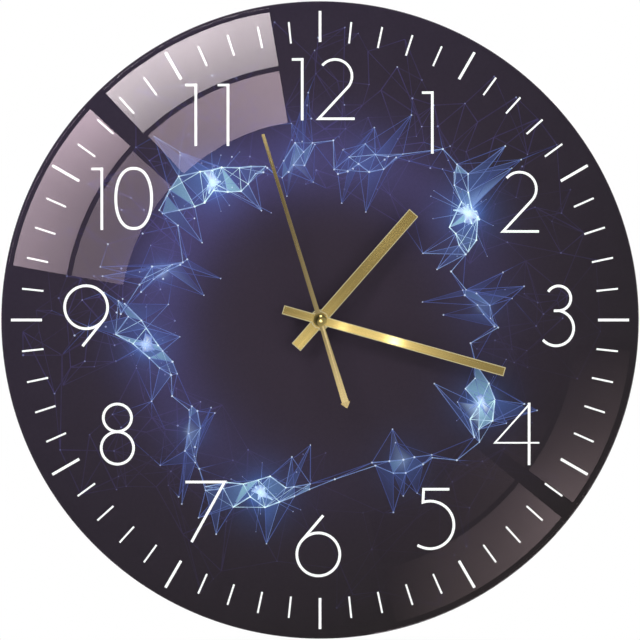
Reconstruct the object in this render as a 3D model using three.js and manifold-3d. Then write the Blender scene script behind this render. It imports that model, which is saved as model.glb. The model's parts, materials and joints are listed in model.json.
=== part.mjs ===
// Wall clock: a printed glass dial, three baton hands and the quartz movement that drives them.
// Millimetres, +Z up. The clock faces -Y, and the back of its movement rests on a wall at y = 0.
// The hands turn about the Y axis through the origin; a positive turn is clockwise from the front.
import * as THREE from 'three';
import { ConvexGeometry } from 'three/addons/geometries/ConvexGeometry.js';
import { mergeVertices } from 'three/addons/utils/BufferGeometryUtils.js';
import Module from 'manifold-3d';

const wasm = await Module();
wasm.setup();

// Dial
const glassDiameter = 300;
const glassThickness = 4;
const glassChamfer = 0.8;
const printThickness = 0.3;
const panelHoleRoom = 0.4;

// Fits
const runningGap = 0.15;
const pressGap = 0.05;
const fitGap = 0.3;
const layerGap = 0.4;

// Hands, measured from the middle of the dial
const hourHandReach = 66.9;
const hourHandTail = 17;
const hourHandWidth = 5.5;
const hourHubRadius = 4.9;
const minuteHandReach = 90;
const minuteHandTail = 18;
const minuteHandWidth = 4.3;
const minuteHubRadius = 4.15;
const handSheet = 0.5;
const secondHandReach = 91.2;
const secondHandTail = 43.3;
const secondTipWidth = 1.5;
const secondHubWidth = 2.2;
const secondTailWidth = 3.3;
const secondArrowWidth = 4.8;
const secondArrowLength = 2.9;
const secondHandSheet = 0.2;
const secondRidgeHeight = 0.35;
const secondPointWidth = 0.4;
const capRadius = 3.15;
const capHeight = 1.9;
const capEdge = 0.35;

// Where the hands stand, in degrees clockwise from 12
const hourHandAngle = 41.2;
const minuteHandAngle = 105.7;
const secondHandAngle = -17.1;

// Shafts, tubes and what clamps the dial
const arborRadius = 0.5;
const minuteTubeRadius = 1.6;
const hourTubeRadius = 2.5;
const bushingRadius = 3.9;
const bushingFlangeRadius = 5.5;
const bushingFlangeThickness = 0.6;
const collarWall = 0.9;
const collarHeight = 0.8;
const tubeProud = 0.25;
const handGap = 0.35;
const washerThickness = 0.4;
const washerRadius = 5.4;
const nutAcrossFlats = 10;
const nutThickness = 2;
const threadProud = 0.6;
const gasketRadius = 15;
const gasketThickness = 1;

// Hanger strap
const hangerSheet = 0.8;
const hangerWidth = 20;
const hangerBelow = 9;
const hangerEyeWidth = 6;
const hangerEyeHeight = 7;
const hangerEyeRim = 4;
const hangerCorner = 2;
const hangerWallGap = 2;

// Housing
const wall = 1.2;
const cornerRadius = 4;
const innerCornerRadius = 1;
const postRadius = 1.5;
const socketWall = 0.55;
const clipWidth = 6;
const clipReach = 4;
const clipSheet = 0.6;
const clipSpread = 11;
const plateMargin = 2;
const plateRim = 1;

// Battery and its contacts
const batteryDiameter = 14.5;
const batteryLength = 50.5;
const terminalRadius = 2.75;
const terminalHeight = 1;
const batteryInset = 0.5;
const contactSheet = 0.4;
const contactSpring = 1.7;
const contactStripWidth = 3;
const contactPlateWidth = 9;
const contactStripInset = 0.7;
const contactSpacing = 2.2;
const contactLeafInset = 1;

// Wheels
const wheelThickness = 0.8;
const motionWheelThickness = 1;
const toothOverhang = 0.1;
const wheelRoom = 0.5;
const arborRoom = 0.3;
const bossRoom = 0.4;
const pivotRadius = 0.4;
const pivotDepth = 0.8;
const middlePlateThickness = 1;
const hubWall = 0.8;
const neckWall = 0.4;

// Teeth: heights in modules, widths as shares of the tooth pitch
const wheelForm = { addendum: 0.95, dedendum: 1.2, rootShare: 0.5, tipShare: 0.2 };
const pinionForm = { addendum: 0.7, dedendum: 1.25, rootShare: 0.45, tipShare: 0.2 };

// Tooth counts, wheel and pinion of each pair
const rotorPair = { wheel: 48, pinion: 8 };
const intermediatePair = { wheel: 50, pinion: 10 };
const thirdPair = { wheel: 60, pinion: 8 };
const centrePair = { wheel: 64, pinion: 8 };
const minutePair = { wheel: 36, pinion: 12 };
const hourPair = { wheel: 40, pinion: 10 };

// Arbors round the middle: distances in millimetres, directions in degrees from +X towards +Z
const thirdDistance = 10;
const thirdDirection = 130;
const intermediateDirection = 56;
const rotorDistance = 7;
const rotorDirection = 115;
const settingDistance = 11.4;
const settingDirection = -5;

// Setting knob
const knobRadius = 6;
const knobThickness = 3.2;
const knobFlutes = 24;
const knobFluteDepth = 0.35;
const settingShaftRadius = 1.2;

// Motor and electronics
const magnetRadius = 2.6;
const magnetThickness = 2.5;
const statorBoreGap = 0.4;
const statorRing = 1.5;
const statorThickness = 1;
const statorArmWidth = 4;
const coreHeight = 3;
const coilLength = 17;
const coilFlange = 7;
const coilFlangeThickness = 1;
const coilTubeWall = 0.6;
const windingRadius = 3.2;
const boardWidth = 13;
const boardHeight = 12;
const boardThickness = 1;
const boardStandoff = 2.3;
const crystalRadius = 1;
const crystalLength = 6;
const chipRadius = 3;
const chipHeight = 0.9;
const crystalInset = 1;

// Facets
const roundFacets = 72;
const hubFacets = 32;
const shaftFacets = 20;
const pinFacets = 12;
const postFacets = 8;
const cornerFacets = 3;

const degrees = Math.PI / 180;

// How far a cutting tool runs past what it cuts
const overshoot = 1;

// Layers of the movement, as distances from the front face of its housing towards the wall
function layerAfter(previous, gap, thickness) {
  const from = previous.to + gap;
  return { from, to: from + thickness };
}

function layerBefore(previous, gap, thickness) {
  const to = previous.from - gap;
  return { from: to - thickness, to };
}

function past(layer, by = overshoot) {
  return { from: layer.from - by, to: layer.to + by };
}

const frontWall = { from: 0, to: wall };
const hourLayer = layerAfter(frontWall, fitGap, motionWheelThickness);
const minuteLayer = layerAfter(hourLayer, layerGap, motionWheelThickness);
const plateLayer = layerAfter(minuteLayer, layerGap, middlePlateThickness);
const centreLayer = layerAfter(plateLayer, layerGap, wheelThickness);
const thirdLayer = layerAfter(centreLayer, layerGap, wheelThickness);
const secondLayer = layerAfter(thirdLayer, layerGap, wheelThickness);
const intermediateLayer = layerAfter(secondLayer, layerGap, wheelThickness);
const magnetLayer = layerAfter(intermediateLayer, layerGap, magnetThickness);
const trainDepth = magnetLayer.to + bossRoom + pivotDepth + fitGap + wall;
const batteryDepth = frontWall.to + fitGap + batteryDiameter + batteryInset;
const caseDepth = Math.max(trainDepth, batteryDepth);
const backWall = { from: caseDepth - wall, to: caseDepth };
const splitDepth = plateLayer.to;
const magnetMiddle = (magnetLayer.from + magnetLayer.to) / 2;
const statorLayer = { from: magnetMiddle - statorThickness / 2, to: magnetMiddle + statorThickness / 2 };
const coreLayer = layerBefore(statorLayer, 0, statorThickness);
const boardLayer = layerBefore(backWall, boardStandoff, boardThickness);

// Layers in front of the housing
const hangerLayer = layerBefore(frontWall, 0, hangerSheet);
const gasketLayer = layerBefore(hangerLayer, 0, gasketThickness);
const printLayer = layerBefore(gasketLayer, 0, printThickness);
const glassLayer = layerBefore(printLayer, 0, glassThickness);
const washerLayer = layerBefore(glassLayer, 0, washerThickness);
const nutLayer = layerBefore(washerLayer, 0, nutThickness);
const bushingFront = nutLayer.from - threadProud;
const hourCollarLayer = layerBefore({ from: bushingFront }, handGap, collarHeight);
const hourHandLayer = layerBefore(hourCollarLayer, 0, handSheet);
const hourTubeFront = hourHandLayer.from - tubeProud;
const minuteCollarLayer = layerBefore({ from: hourTubeFront }, handGap, collarHeight);
const minuteHandLayer = layerBefore(minuteCollarLayer, 0, handSheet);
const minuteTubeFront = minuteHandLayer.from - tubeProud;
const secondPipeLayer = layerBefore({ from: minuteTubeFront }, handGap, collarHeight);
const secondHandLayer = layerBefore(secondPipeLayer, 0, secondHandSheet + secondRidgeHeight);

// Radii that follow from what passes through
const minuteBore = arborRadius + runningGap;
const hourBore = minuteTubeRadius + runningGap;
const bushingBore = hourTubeRadius + runningGap;
const panelHole = bushingRadius + panelHoleRoom;
const shaftHole = settingShaftRadius + runningGap;
const pivotHole = pivotRadius + runningGap;
const bossRadius = pivotHole + socketWall;

// Gear sizes and the places of the arbors
function moduleOf(pair, distance) {
  return (2 * distance) / (pair.wheel + pair.pinion);
}

function wheelTip(pair, distance) {
  return moduleOf(pair, distance) * (pair.wheel / 2 + wheelForm.addendum);
}

function placeFrom(origin, distance, direction) {
  const angle = direction * degrees;
  return { x: origin.x + distance * Math.cos(angle), z: origin.z + distance * Math.sin(angle) };
}

const centreTip = wheelTip(centrePair, thirdDistance);
const intermediateDistance = centreTip + pivotRadius + arborRoom;
const hands = { x: 0, z: 0 };
const third = placeFrom(hands, thirdDistance, thirdDirection);
const intermediate = placeFrom(hands, intermediateDistance, intermediateDirection);
const rotor = placeFrom(intermediate, rotorDistance, rotorDirection);
const setting = placeFrom(hands, settingDistance, settingDirection);

// Room inside the housing
const lowestTooth = Math.max(
  wheelTip(hourPair, settingDistance),
  wheelTip(minutePair, settingDistance) - setting.z,
);
const chamberLow = -(lowestTooth + wheelRoom);
const bayHigh = chamberLow - wall;
const bayLow = bayHigh - batteryDiameter - 2 * fitGap;
const caseLow = bayLow - wall;
const statorBore = magnetRadius + statorBoreGap;
const statorOuter = statorBore + statorRing;
const coilZ = rotor.z + statorOuter + fitGap + coilFlange / 2;
const chamberHigh = coilZ + coilFlange / 2 + 2 * fitGap;
const caseHigh = chamberHigh + wall;
const chamberHalf = (batteryLength + contactSpring + 2 * fitGap + 2 * contactSheet) / 2;
const caseHalf = chamberHalf + wall;
const batteryRight = chamberHalf - contactSheet - fitGap;
const batteryZ = (bayHigh + bayLow) / 2;
const batteryMiddle = frontWall.to + fitGap + batteryDiameter / 2;

// Maps a depth from the housing's front face to y
function yOf(depth) {
  return depth - caseDepth;
}

// Drops a geometry's seams and turns it into a solid that faces out
function toSolid(geometry) {
  const bare = geometry.clone();
  for (const name of Object.keys(bare.attributes)) {
    if (name !== 'position') bare.deleteAttribute(name);
  }
  const merged = mergeVertices(bare, 1e-5);
  const corners = [];
  for (let i = 0; i < merged.index.count; i += 3) {
    const [a, b, c] = [0, 1, 2].map((k) => merged.index.getX(i + k));
    if (a !== b && b !== c && c !== a) corners.push(a, b, c);
  }
  const vertProperties = Float32Array.from(merged.attributes.position.array);
  const build = (triVerts) => new wasm.Manifold(new wasm.Mesh({ numProp: 3, vertProperties, triVerts }));
  const solid = build(Uint32Array.from(corners));
  if (solid.volume() > 0) return solid;
  return build(Uint32Array.from(corners.reverse()));
}

function union(...solids) {
  return wasm.Manifold.union(solids);
}

function cut(solid, ...tools) {
  return solid.subtract(union(...tools));
}

// Points on an arc, in degrees
function arcPoints(x, z, radius, from, to, steps) {
  const points = [];
  for (let i = 0; i <= steps; i++) {
    const angle = (from + ((to - from) * i) / steps) * degrees;
    points.push(new THREE.Vector2(x + radius * Math.cos(angle), z + radius * Math.sin(angle)));
  }
  return points;
}

function roundedRectangle(left, low, right, high, radius) {
  return new THREE.Shape([
    ...arcPoints(right - radius, low + radius, radius, -90, 0, cornerFacets),
    ...arcPoints(right - radius, high - radius, radius, 0, 90, cornerFacets),
    ...arcPoints(left + radius, high - radius, radius, 90, 180, cornerFacets),
    ...arcPoints(left + radius, low + radius, radius, 180, 270, cornerFacets),
  ]);
}

// A shape in x and z, extruded through a layer
function plate(shape, layer) {
  const depth = layer.to - layer.from;
  const geometry = new THREE.ExtrudeGeometry(shape, { depth, bevelEnabled: false });
  geometry.rotateX(Math.PI / 2);
  geometry.translate(0, yOf(layer.to), 0);
  return toSolid(geometry);
}

// A box between two values of x, in either order, and two heights
function block(x1, x2, low, high, layer) {
  const geometry = new THREE.BoxGeometry(Math.abs(x2 - x1), layer.to - layer.from, high - low);
  geometry.translate((x1 + x2) / 2, (yOf(layer.from) + yOf(layer.to)) / 2, (low + high) / 2);
  return toSolid(geometry);
}

function rod(place, radius, layer, facets = shaftFacets) {
  const geometry = new THREE.CylinderGeometry(radius, radius, layer.to - layer.from, facets);
  geometry.translate(place.x, (yOf(layer.from) + yOf(layer.to)) / 2, place.z);
  return toSolid(geometry);
}

// A cylinder that lies along X, with its middle at the given place and depth
function barrel(place, radius, length, depth, facets = shaftFacets) {
  const geometry = new THREE.CylinderGeometry(radius, radius, length, facets);
  geometry.rotateZ(Math.PI / 2);
  geometry.translate(place.x, yOf(depth), place.z);
  return toSolid(geometry);
}

// A profile of [radius, depth] points, turned about the clock's axis
function turned(profile, facets = shaftFacets) {
  const points = profile.map(([radius, depth]) => new THREE.Vector2(radius, yOf(depth)));
  return toSolid(new THREE.LatheGeometry(points, facets));
}

function ring(inner, outer, layer, facets = shaftFacets) {
  const { from, to } = layer;
  return turned([[inner, from], [outer, from], [outer, to], [inner, to], [inner, from]], facets);
}

// A toothed disc; phase is the direction of one tooth, in radians from +X towards +Z
function gear(teeth, module, form, phase, layer) {
  const pitchRadius = (teeth * module) / 2;
  const tip = pitchRadius + form.addendum * module;
  const root = pitchRadius - form.dedendum * module;
  const pitch = (2 * Math.PI) / teeth;
  const points = [];
  const put = (radius, angle) => {
    points.push(new THREE.Vector2(radius * Math.cos(angle), radius * Math.sin(angle)));
  };
  for (let tooth = 0; tooth < teeth; tooth++) {
    const middle = phase + tooth * pitch;
    put(root, middle - (form.rootShare * pitch) / 2);
    put(tip, middle - (form.tipShare * pitch) / 2);
    put(tip, middle + (form.tipShare * pitch) / 2);
    put(root, middle + (form.rootShare * pitch) / 2);
  }
  return plate(new THREE.Shape(points), layer);
}

// The wheel of a pair has a tooth on the line of centres, and its pinion a gap there
function wheelOf(pair, distance, direction, layer) {
  return gear(pair.wheel, moduleOf(pair, distance), wheelForm, direction * degrees, layer);
}

function pinionOf(pair, distance, direction, layer) {
  const phase = direction * degrees + Math.PI / pair.pinion;
  return gear(pair.pinion, moduleOf(pair, distance), pinionForm, phase, past(layer, toothOverhang));
}

// Materials, one for each finish
function finish(color, roughness, metalness, extra = {}) {
  return new THREE.MeshStandardMaterial({ color, roughness, metalness, flatShading: true, ...extra });
}

const gold = finish(0xc7a458, 0.3, 1);
const glass = finish(0xcfe0dc, 0.05, 0, { transparent: true, opacity: 0.3 });
const print = finish(0x2c2532, 0.5, 0);
const brass = finish(0xb5913f, 0.35, 1);
const blackMetal = finish(0x17171a, 0.45, 0.6);
const steel = finish(0xb9bcc0, 0.35, 1);
const rubber = finish(0x1b1b1d, 0.85, 0);
const blackPlastic = finish(0x202124, 0.55, 0);
const whiteNylon = finish(0xe9e7df, 0.5, 0);
const iron = finish(0x8d9095, 0.45, 1);
const magnet = finish(0x3a3b3f, 0.4, 0.6);
const copper = finish(0xb4613a, 0.4, 1);
const bobbinPlastic = finish(0xd8d3c4, 0.55, 0);
const board = finish(0x3f6b46, 0.6, 0);
const resin = finish(0x101013, 0.3, 0);
const nickel = finish(0xc9c8c2, 0.3, 1);
const batteryJacket = finish(0x34383d, 0.4, 0.2);

// Dial
function glassPanel() {
  const radius = glassDiameter / 2;
  const { from, to } = glassLayer;
  return turned([
    [panelHole, from],
    [radius - glassChamfer, from],
    [radius, from + glassChamfer],
    [radius, to - glassChamfer],
    [radius - glassChamfer, to],
    [panelHole, to],
    [panelHole, from],
  ], roundFacets);
}

function dialPrint() {
  return ring(panelHole, glassDiameter / 2 - glassChamfer, printLayer, roundFacets);
}

// What clamps the dial
function threadedBushing() {
  const flangeFront = frontWall.to - bushingFlangeThickness;
  return turned([
    [bushingBore, bushingFront],
    [bushingRadius, bushingFront],
    [bushingRadius, flangeFront],
    [bushingFlangeRadius, flangeFront],
    [bushingFlangeRadius, frontWall.to],
    [bushingBore, frontWall.to],
    [bushingBore, bushingFront],
  ]);
}

function hexNut() {
  const flat = nutAcrossFlats / 2;
  const corner = flat / Math.cos(Math.PI / 6);
  const hexagon = new THREE.Shape(arcPoints(0, 0, corner, 0, 360, 6).slice(0, -1));
  const envelope = turned([
    [0, nutLayer.from],
    [flat, nutLayer.from],
    [corner, nutLayer.from + (corner - flat) / 2],
    [corner, nutLayer.to],
    [0, nutLayer.to],
  ]);
  const body = plate(hexagon, nutLayer).intersect(envelope);
  return cut(body, rod(hands, bushingRadius + pressGap, past(nutLayer)));
}

function gasket() {
  return ring(bushingRadius + fitGap, gasketRadius, gasketLayer);
}

function frontWasher() {
  return ring(bushingRadius + runningGap, washerRadius, washerLayer);
}

// A strap in front of the housing, over its top and back to the wall, where its ear has the eye
function wallHanger() {
  const half = hangerWidth / 2;
  const shelfHigh = caseHigh + fitGap + hangerSheet;
  const shelfLow = shelfHigh - hangerSheet;
  const eyeLow = shelfHigh + hangerEyeRim;
  const eyeHigh = eyeLow + hangerEyeHeight;
  const earLayer = layerBefore(backWall, hangerWallGap - wall, hangerSheet);
  const shelfLayer = { from: hangerLayer.from, to: earLayer.to };
  const eyeArc = arcPoints(0, eyeHigh - hangerEyeWidth / 2, hangerEyeWidth / 2, 0, 180, 2 * cornerFacets);
  const eye = new THREE.Shape([
    new THREE.Vector2(-hangerEyeWidth / 2, eyeLow),
    new THREE.Vector2(hangerEyeWidth / 2, eyeLow),
    ...eyeArc,
  ]);
  return cut(
    union(
      plate(roundedRectangle(-half, -hangerBelow, half, shelfHigh, hangerCorner), hangerLayer),
      block(-half, half, shelfHigh - 2 * hangerCorner, shelfHigh, hangerLayer),
      block(-half, half, shelfLow, shelfHigh, shelfLayer),
      block(-half, half, shelfLow, shelfHigh + half / 2, earLayer),
      plate(roundedRectangle(-half, shelfLow, half, eyeHigh + hangerEyeRim, half / 2), earLayer),
    ),
    plate(eye, past(earLayer)),
    rod(hands, bushingRadius + runningGap, past(hangerLayer)),
  );
}

// Outline of the middle plate, and the posts near its corners that carry it
const plateHalf = chamberHalf - 3 * fitGap - plateMargin;
const plateLow = chamberLow + wheelRoom;
const plateHigh = rotor.z + bossRadius + plateMargin;
const plateStep = third.z + bossRadius + plateMargin;
const postInset = postRadius + plateRim;
const posts = [
  { x: plateHalf - postInset, z: plateLow + postInset },
  { x: -plateHalf + postInset, z: plateLow + postInset },
  { x: plateHalf - postInset, z: plateHigh - postInset },
  { x: -plateHalf + postInset, z: plateStep - postInset },
];

function middlePlate() {
  const shape = new THREE.Shape([
    new THREE.Vector2(-plateHalf, plateLow),
    new THREE.Vector2(plateHalf, plateLow),
    new THREE.Vector2(plateHalf, plateHigh),
    new THREE.Vector2(rotor.x - 2 * bossRadius, plateHigh),
    new THREE.Vector2(third.x - bossRadius, plateStep),
    new THREE.Vector2(-plateHalf, plateStep),
  ]);
  const through = past(plateLayer);
  return cut(
    plate(shape, plateLayer),
    rod(hands, minuteTubeRadius + runningGap, through),
    rod(setting, shaftHole, through),
    ...[third, intermediate, rotor].map((place) => rod(place, pivotHole, through, pinFacets)),
  );
}

// Four snap tabs on the sides of the front half, each in a recess of the back half
function clips(layer, room) {
  const middle = (chamberHigh + chamberLow) / 2;
  const half = clipWidth / 2 + room;
  return [-1, 1].flatMap((side) => [-1, 1].map((end) => {
    const z = middle + end * clipSpread;
    return block(side * caseHalf, side * (caseHalf - clipSheet), z - half, z + half, layer);
  }));
}

// Housing
const outline = roundedRectangle(-caseHalf, caseLow, caseHalf, caseHigh, cornerRadius);
const chamber = roundedRectangle(-chamberHalf, chamberLow, chamberHalf, chamberHigh, innerCornerRadius);
const bay = roundedRectangle(-chamberHalf, bayLow, chamberHalf, bayHigh, innerCornerRadius);

function housingRing(layer) {
  return cut(plate(outline, layer), plate(chamber, past(layer)), plate(bay, past(layer)));
}

function caseFront() {
  const inWall = wall / 2;
  const shell = union(
    plate(outline, frontWall),
    housingRing({ from: inWall, to: splitDepth }),
    ...posts.map((post) => rod(post, postRadius, { from: inWall, to: plateLayer.from }, postFacets)),
    ...clips({ from: splitDepth - clipSheet, to: splitDepth + clipReach }, 0),
  );
  const flangeSeat = { from: frontWall.to - bushingFlangeThickness, to: frontWall.to + overshoot };
  const pivotSocket = { from: frontWall.to - pivotDepth, to: frontWall.to + overshoot };
  return cut(
    shell,
    rod(hands, bushingRadius + pressGap, past(frontWall)),
    rod(hands, bushingFlangeRadius + pressGap, flangeSeat),
    rod(setting, pivotHole, pivotSocket, pinFacets),
  );
}

// Bosses on the back wall reach to just behind their wheels, each with a blind hole for the pivot
const rearBosses = [
  { place: hands, tip: secondLayer.to + bossRoom, hole: minuteBore },
  { place: third, tip: thirdLayer.to + bossRoom, hole: pivotHole },
  { place: intermediate, tip: intermediateLayer.to + bossRoom, hole: pivotHole },
  { place: rotor, tip: magnetLayer.to + bossRoom, hole: pivotHole },
];
const recessRadius = knobRadius + fitGap;
const recessFloor = layerBefore({ from: caseDepth }, knobThickness + fitGap, wall);
const armOffset = coilLength / 2 + fitGap + statorArmWidth / 2;
const armPostZ = coilZ - coreHeight / 2 - postRadius - fitGap;
const boardLeft = -chamberHalf + contactSpacing;
const boardRight = boardLeft + boardWidth;
const boardHigh = chamberHigh - 2 * fitGap;
const boardLow = boardHigh - boardHeight;
const boardPosts = [
  { x: boardLeft + postInset, z: boardHigh - postInset },
  { x: boardRight - postInset, z: boardLow + postInset },
];
const stripLayer = layerBefore(backWall, contactStripInset, contactStripWidth);

// A slot at each end of the bay's wall lets a contact strip through
function contactSlots() {
  const reach = { from: stripLayer.from - fitGap, to: stripLayer.to + fitGap };
  return [-1, 1].map((side) => {
    const inner = side * (chamberHalf - contactSheet - fitGap);
    return block(side * chamberHalf, inner, bayHigh - overshoot, chamberLow + overshoot, reach);
  });
}

function caseBack() {
  const root = backWall.from + wall / 2;
  const post = (place, radius, tip) => rod(place, radius, { from: tip, to: root }, postFacets);
  const armPosts = [-1, 1].map((side) => ({ x: rotor.x + side * armOffset, z: armPostZ }));
  const shell = union(
    cut(plate(outline, backWall), plate(bay, past(backWall))),
    housingRing({ from: splitDepth, to: root }),
    rod(setting, recessRadius + wall, { from: recessFloor.from, to: root }),
    ...rearBosses.map(({ place, tip }) => rod(place, bossRadius, { from: tip, to: root }, pinFacets)),
    ...posts.map((place) => post(place, postRadius, plateLayer.to)),
    ...armPosts.map((place) => post(place, postRadius, statorLayer.to)),
    ...boardPosts.map((place) => post(place, postRadius, boardLayer.to)),
  );
  const sockets = rearBosses.map(({ place, tip, hole }) => {
    return rod(place, hole, { from: tip - overshoot, to: tip + pivotDepth + fitGap }, pinFacets);
  });
  return cut(
    shell,
    rod(setting, recessRadius, { from: recessFloor.to, to: caseDepth + overshoot }),
    rod(setting, shaftHole, past(recessFloor)),
    ...sockets,
    ...contactSlots(),
    ...clips({ from: splitDepth - overshoot, to: splitDepth + clipReach + fitGap }, fitGap),
  );
}

// Contacts: a plate in the bay, and a strip through the slot in the bay's wall to the circuit board
const contactPlateLayer = { from: stripLayer.to - contactPlateWidth, to: stripLayer.to };
const contactPlateLow = batteryZ - contactPlateWidth / 2;
const contactPlateHigh = batteryZ + contactPlateWidth / 2;
const contactTop = (boardLow + boardHigh) / 2;

function contactPositive() {
  const outer = chamberHalf;
  const inner = chamberHalf - contactSheet;
  const turnLow = chamberLow + fitGap;
  const turnHigh = turnLow + contactSheet;
  const left = boardLeft - contactSheet;
  return union(
    block(inner, outer, contactPlateLow, contactPlateHigh, contactPlateLayer),
    block(inner, outer, contactPlateLow, turnHigh, stripLayer),
    block(left, outer, turnLow, turnHigh, stripLayer),
    block(left, boardLeft, turnLow, contactTop, stripLayer),
  );
}

// The negative contact's leaf bows towards the cell's flat end
function contactNegative() {
  const outer = -chamberHalf;
  const inner = -chamberHalf + contactSheet;
  const bow = (depth, half, from, to) => arcPoints(0, 0, 1, from, to, 2 * cornerFacets).map((point) => {
    return new THREE.Vector2(outer + depth * point.y, batteryZ + half * point.x);
  });
  const half = contactPlateWidth / 2;
  const leafShape = new THREE.Shape([
    ...bow(contactSpring, half, 0, 180),
    ...bow(contactSpring - contactSheet, half - contactSheet, 180, 0),
  ]);
  return union(
    block(outer, inner, contactPlateLow, contactPlateHigh, contactPlateLayer),
    block(outer, inner, contactPlateLow, contactTop, stripLayer),
    plate(leafShape, { from: contactPlateLayer.from + contactLeafInset, to: stripLayer.from }),
  );
}

// Battery
function battery() {
  const length = batteryLength - terminalHeight;
  const place = { x: batteryRight - terminalHeight - length / 2, z: batteryZ };
  return barrel(place, batteryDiameter / 2, length, batteryMiddle);
}

function batteryTerminal() {
  const place = { x: batteryRight - terminalHeight / 2, z: batteryZ };
  return barrel(place, terminalRadius, terminalHeight, batteryMiddle);
}

// Motor
function statorPlate() {
  const half = statorArmWidth / 2;
  const armLow = rotor.z - half;
  const arms = [-1, 1].map((side) => {
    const middle = rotor.x + side * armOffset;
    return block(middle - half, middle + half, armLow, coilZ + coreHeight / 2, statorLayer);
  });
  const bar = block(rotor.x - armOffset, rotor.x + armOffset, armLow, rotor.z + half, statorLayer);
  const body = union(rod(rotor, statorOuter, statorLayer), bar, ...arms);
  return cut(body, rod(rotor, statorBore, past(statorLayer)));
}

// A square tube along the core, grown from the core's section by the given room
function coreSleeve(half, room) {
  const layer = past(coreLayer, room);
  const low = coilZ - coreHeight / 2 - room;
  const high = coilZ + coreHeight / 2 + room;
  return block(rotor.x - half, rotor.x + half, low, high, layer);
}

function coilCore() {
  return coreSleeve(armOffset + statorArmWidth / 2, 0);
}

const coreMiddle = (coreLayer.from + coreLayer.to) / 2;
const bobbinTubeRoom = runningGap + coilTubeWall;

function coilBobbin() {
  const half = coilLength / 2;
  const flangeLayer = { from: coreMiddle - coilFlange / 2, to: coreMiddle + coilFlange / 2 };
  const flanges = [-1, 1].map((side) => {
    const outer = rotor.x + side * half;
    const inner = outer - side * coilFlangeThickness;
    return block(outer, inner, coilZ - coilFlange / 2, coilZ + coilFlange / 2, flangeLayer);
  });
  return cut(union(coreSleeve(half, bobbinTubeRoom), ...flanges), coreSleeve(half + overshoot, runningGap));
}

function coilWinding() {
  const length = coilLength - 2 * coilFlangeThickness - 2 * pressGap;
  const wound = barrel({ x: rotor.x, z: coilZ }, windingRadius, length, coreMiddle);
  return cut(wound, coreSleeve(coilLength, bobbinTubeRoom + pressGap));
}

// Electronics
function circuitBoard() {
  return block(boardLeft, boardRight, boardLow, boardHigh, boardLayer);
}

// The crystal's can lies on the board on one of its facets
function quartzCrystal() {
  const place = {
    x: boardRight - crystalLength / 2 - crystalInset,
    z: boardHigh - crystalRadius - crystalInset,
  };
  const halfFacet = Math.PI / pinFacets;
  const geometry = new THREE.CylinderGeometry(crystalRadius, crystalRadius, crystalLength, pinFacets);
  geometry.rotateZ(Math.PI / 2);
  geometry.rotateX(halfFacet);
  const lift = crystalRadius * Math.cos(halfFacet);
  geometry.translate(place.x, yOf(boardLayer.from - lift), place.z);
  return toSolid(geometry);
}

function chipCover() {
  const quarter = arcPoints(0, 0, 1, 0, 90, 3);
  const profile = quarter.map((p) => [chipRadius * p.x, boardLayer.from - chipHeight * p.y]);
  return turned([[0, boardLayer.from], ...profile], pinFacets);
}

// Wheels
function hourWheel() {
  const wheel = wheelOf(hourPair, settingDistance, settingDirection, hourLayer);
  const length = { from: hourTubeFront, to: hourLayer.to };
  return cut(union(wheel, rod(hands, hourTubeRadius, length)), rod(hands, hourBore, past(length)));
}

function cannonPinion() {
  const pinion = pinionOf(minutePair, settingDistance, settingDirection, minuteLayer);
  const length = { from: minuteTubeFront, to: centreLayer.to + toothOverhang };
  return cut(union(pinion, rod(hands, minuteTubeRadius, length)), rod(hands, minuteBore, past(length)));
}

function minuteWheel() {
  const back = settingDirection + 180;
  const pivotFront = frontWall.to - pivotDepth + fitGap / 2;
  return union(
    wheelOf(minutePair, settingDistance, back, minuteLayer),
    pinionOf(hourPair, settingDistance, back, hourLayer),
    rod(hands, settingShaftRadius, { from: hourLayer.from, to: minuteLayer.to }),
    rod(hands, pivotRadius, { from: pivotFront, to: hourLayer.to }, pinFacets),
  );
}

function settingKnob() {
  const pitch = (2 * Math.PI) / knobFlutes;
  const points = [];
  for (let flute = 0; flute < knobFlutes; flute++) {
    for (const [share, radius] of [[0, knobRadius], [0.5, knobRadius - knobFluteDepth]]) {
      const angle = (flute + share) * pitch;
      points.push(new THREE.Vector2(radius * Math.cos(angle), radius * Math.sin(angle)));
    }
  }
  const disc = { from: recessFloor.to + fitGap / 2, to: caseDepth - fitGap / 2 };
  const shaft = { from: minuteLayer.to, to: disc.to - fitGap };
  return union(plate(new THREE.Shape(points), disc), rod(hands, settingShaftRadius, shaft));
}

function centreWheel() {
  const wheel = wheelOf(centrePair, thirdDistance, thirdDirection, centreLayer);
  const hub = rod(hands, hourBore + hubWall, past(centreLayer, toothOverhang));
  return cut(union(wheel, hub), rod(hands, hourBore, past(centreLayer)));
}

// A moulded wheel and pinion on their own arbor, from the middle plate to a boss of the back wall
function wheelOnArbor(wheel, pinion, neck, wheelLayer) {
  const length = { from: plateLayer.to - pivotDepth, to: wheelLayer.to + bossRoom + pivotDepth };
  return union(
    wheel,
    pinion,
    rod(hands, pivotRadius + neckWall, neck, pinFacets),
    rod(hands, pivotRadius, length, pinFacets),
  );
}

function thirdWheel() {
  const back = thirdDirection + 180;
  const wheel = wheelOf(thirdPair, thirdDistance, back, thirdLayer);
  const pinion = pinionOf(centrePair, thirdDistance, back, centreLayer);
  const neck = { from: centreLayer.from, to: thirdLayer.to };
  return wheelOnArbor(wheel, pinion, neck, thirdLayer);
}

function intermediateWheel() {
  const back = intermediateDirection + 180;
  const wheel = wheelOf(rotorPair, rotorDistance, rotorDirection, intermediateLayer);
  const pinion = pinionOf(intermediatePair, intermediateDistance, back, secondLayer);
  const neck = { from: secondLayer.from, to: intermediateLayer.to };
  return wheelOnArbor(wheel, pinion, neck, intermediateLayer);
}

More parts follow.
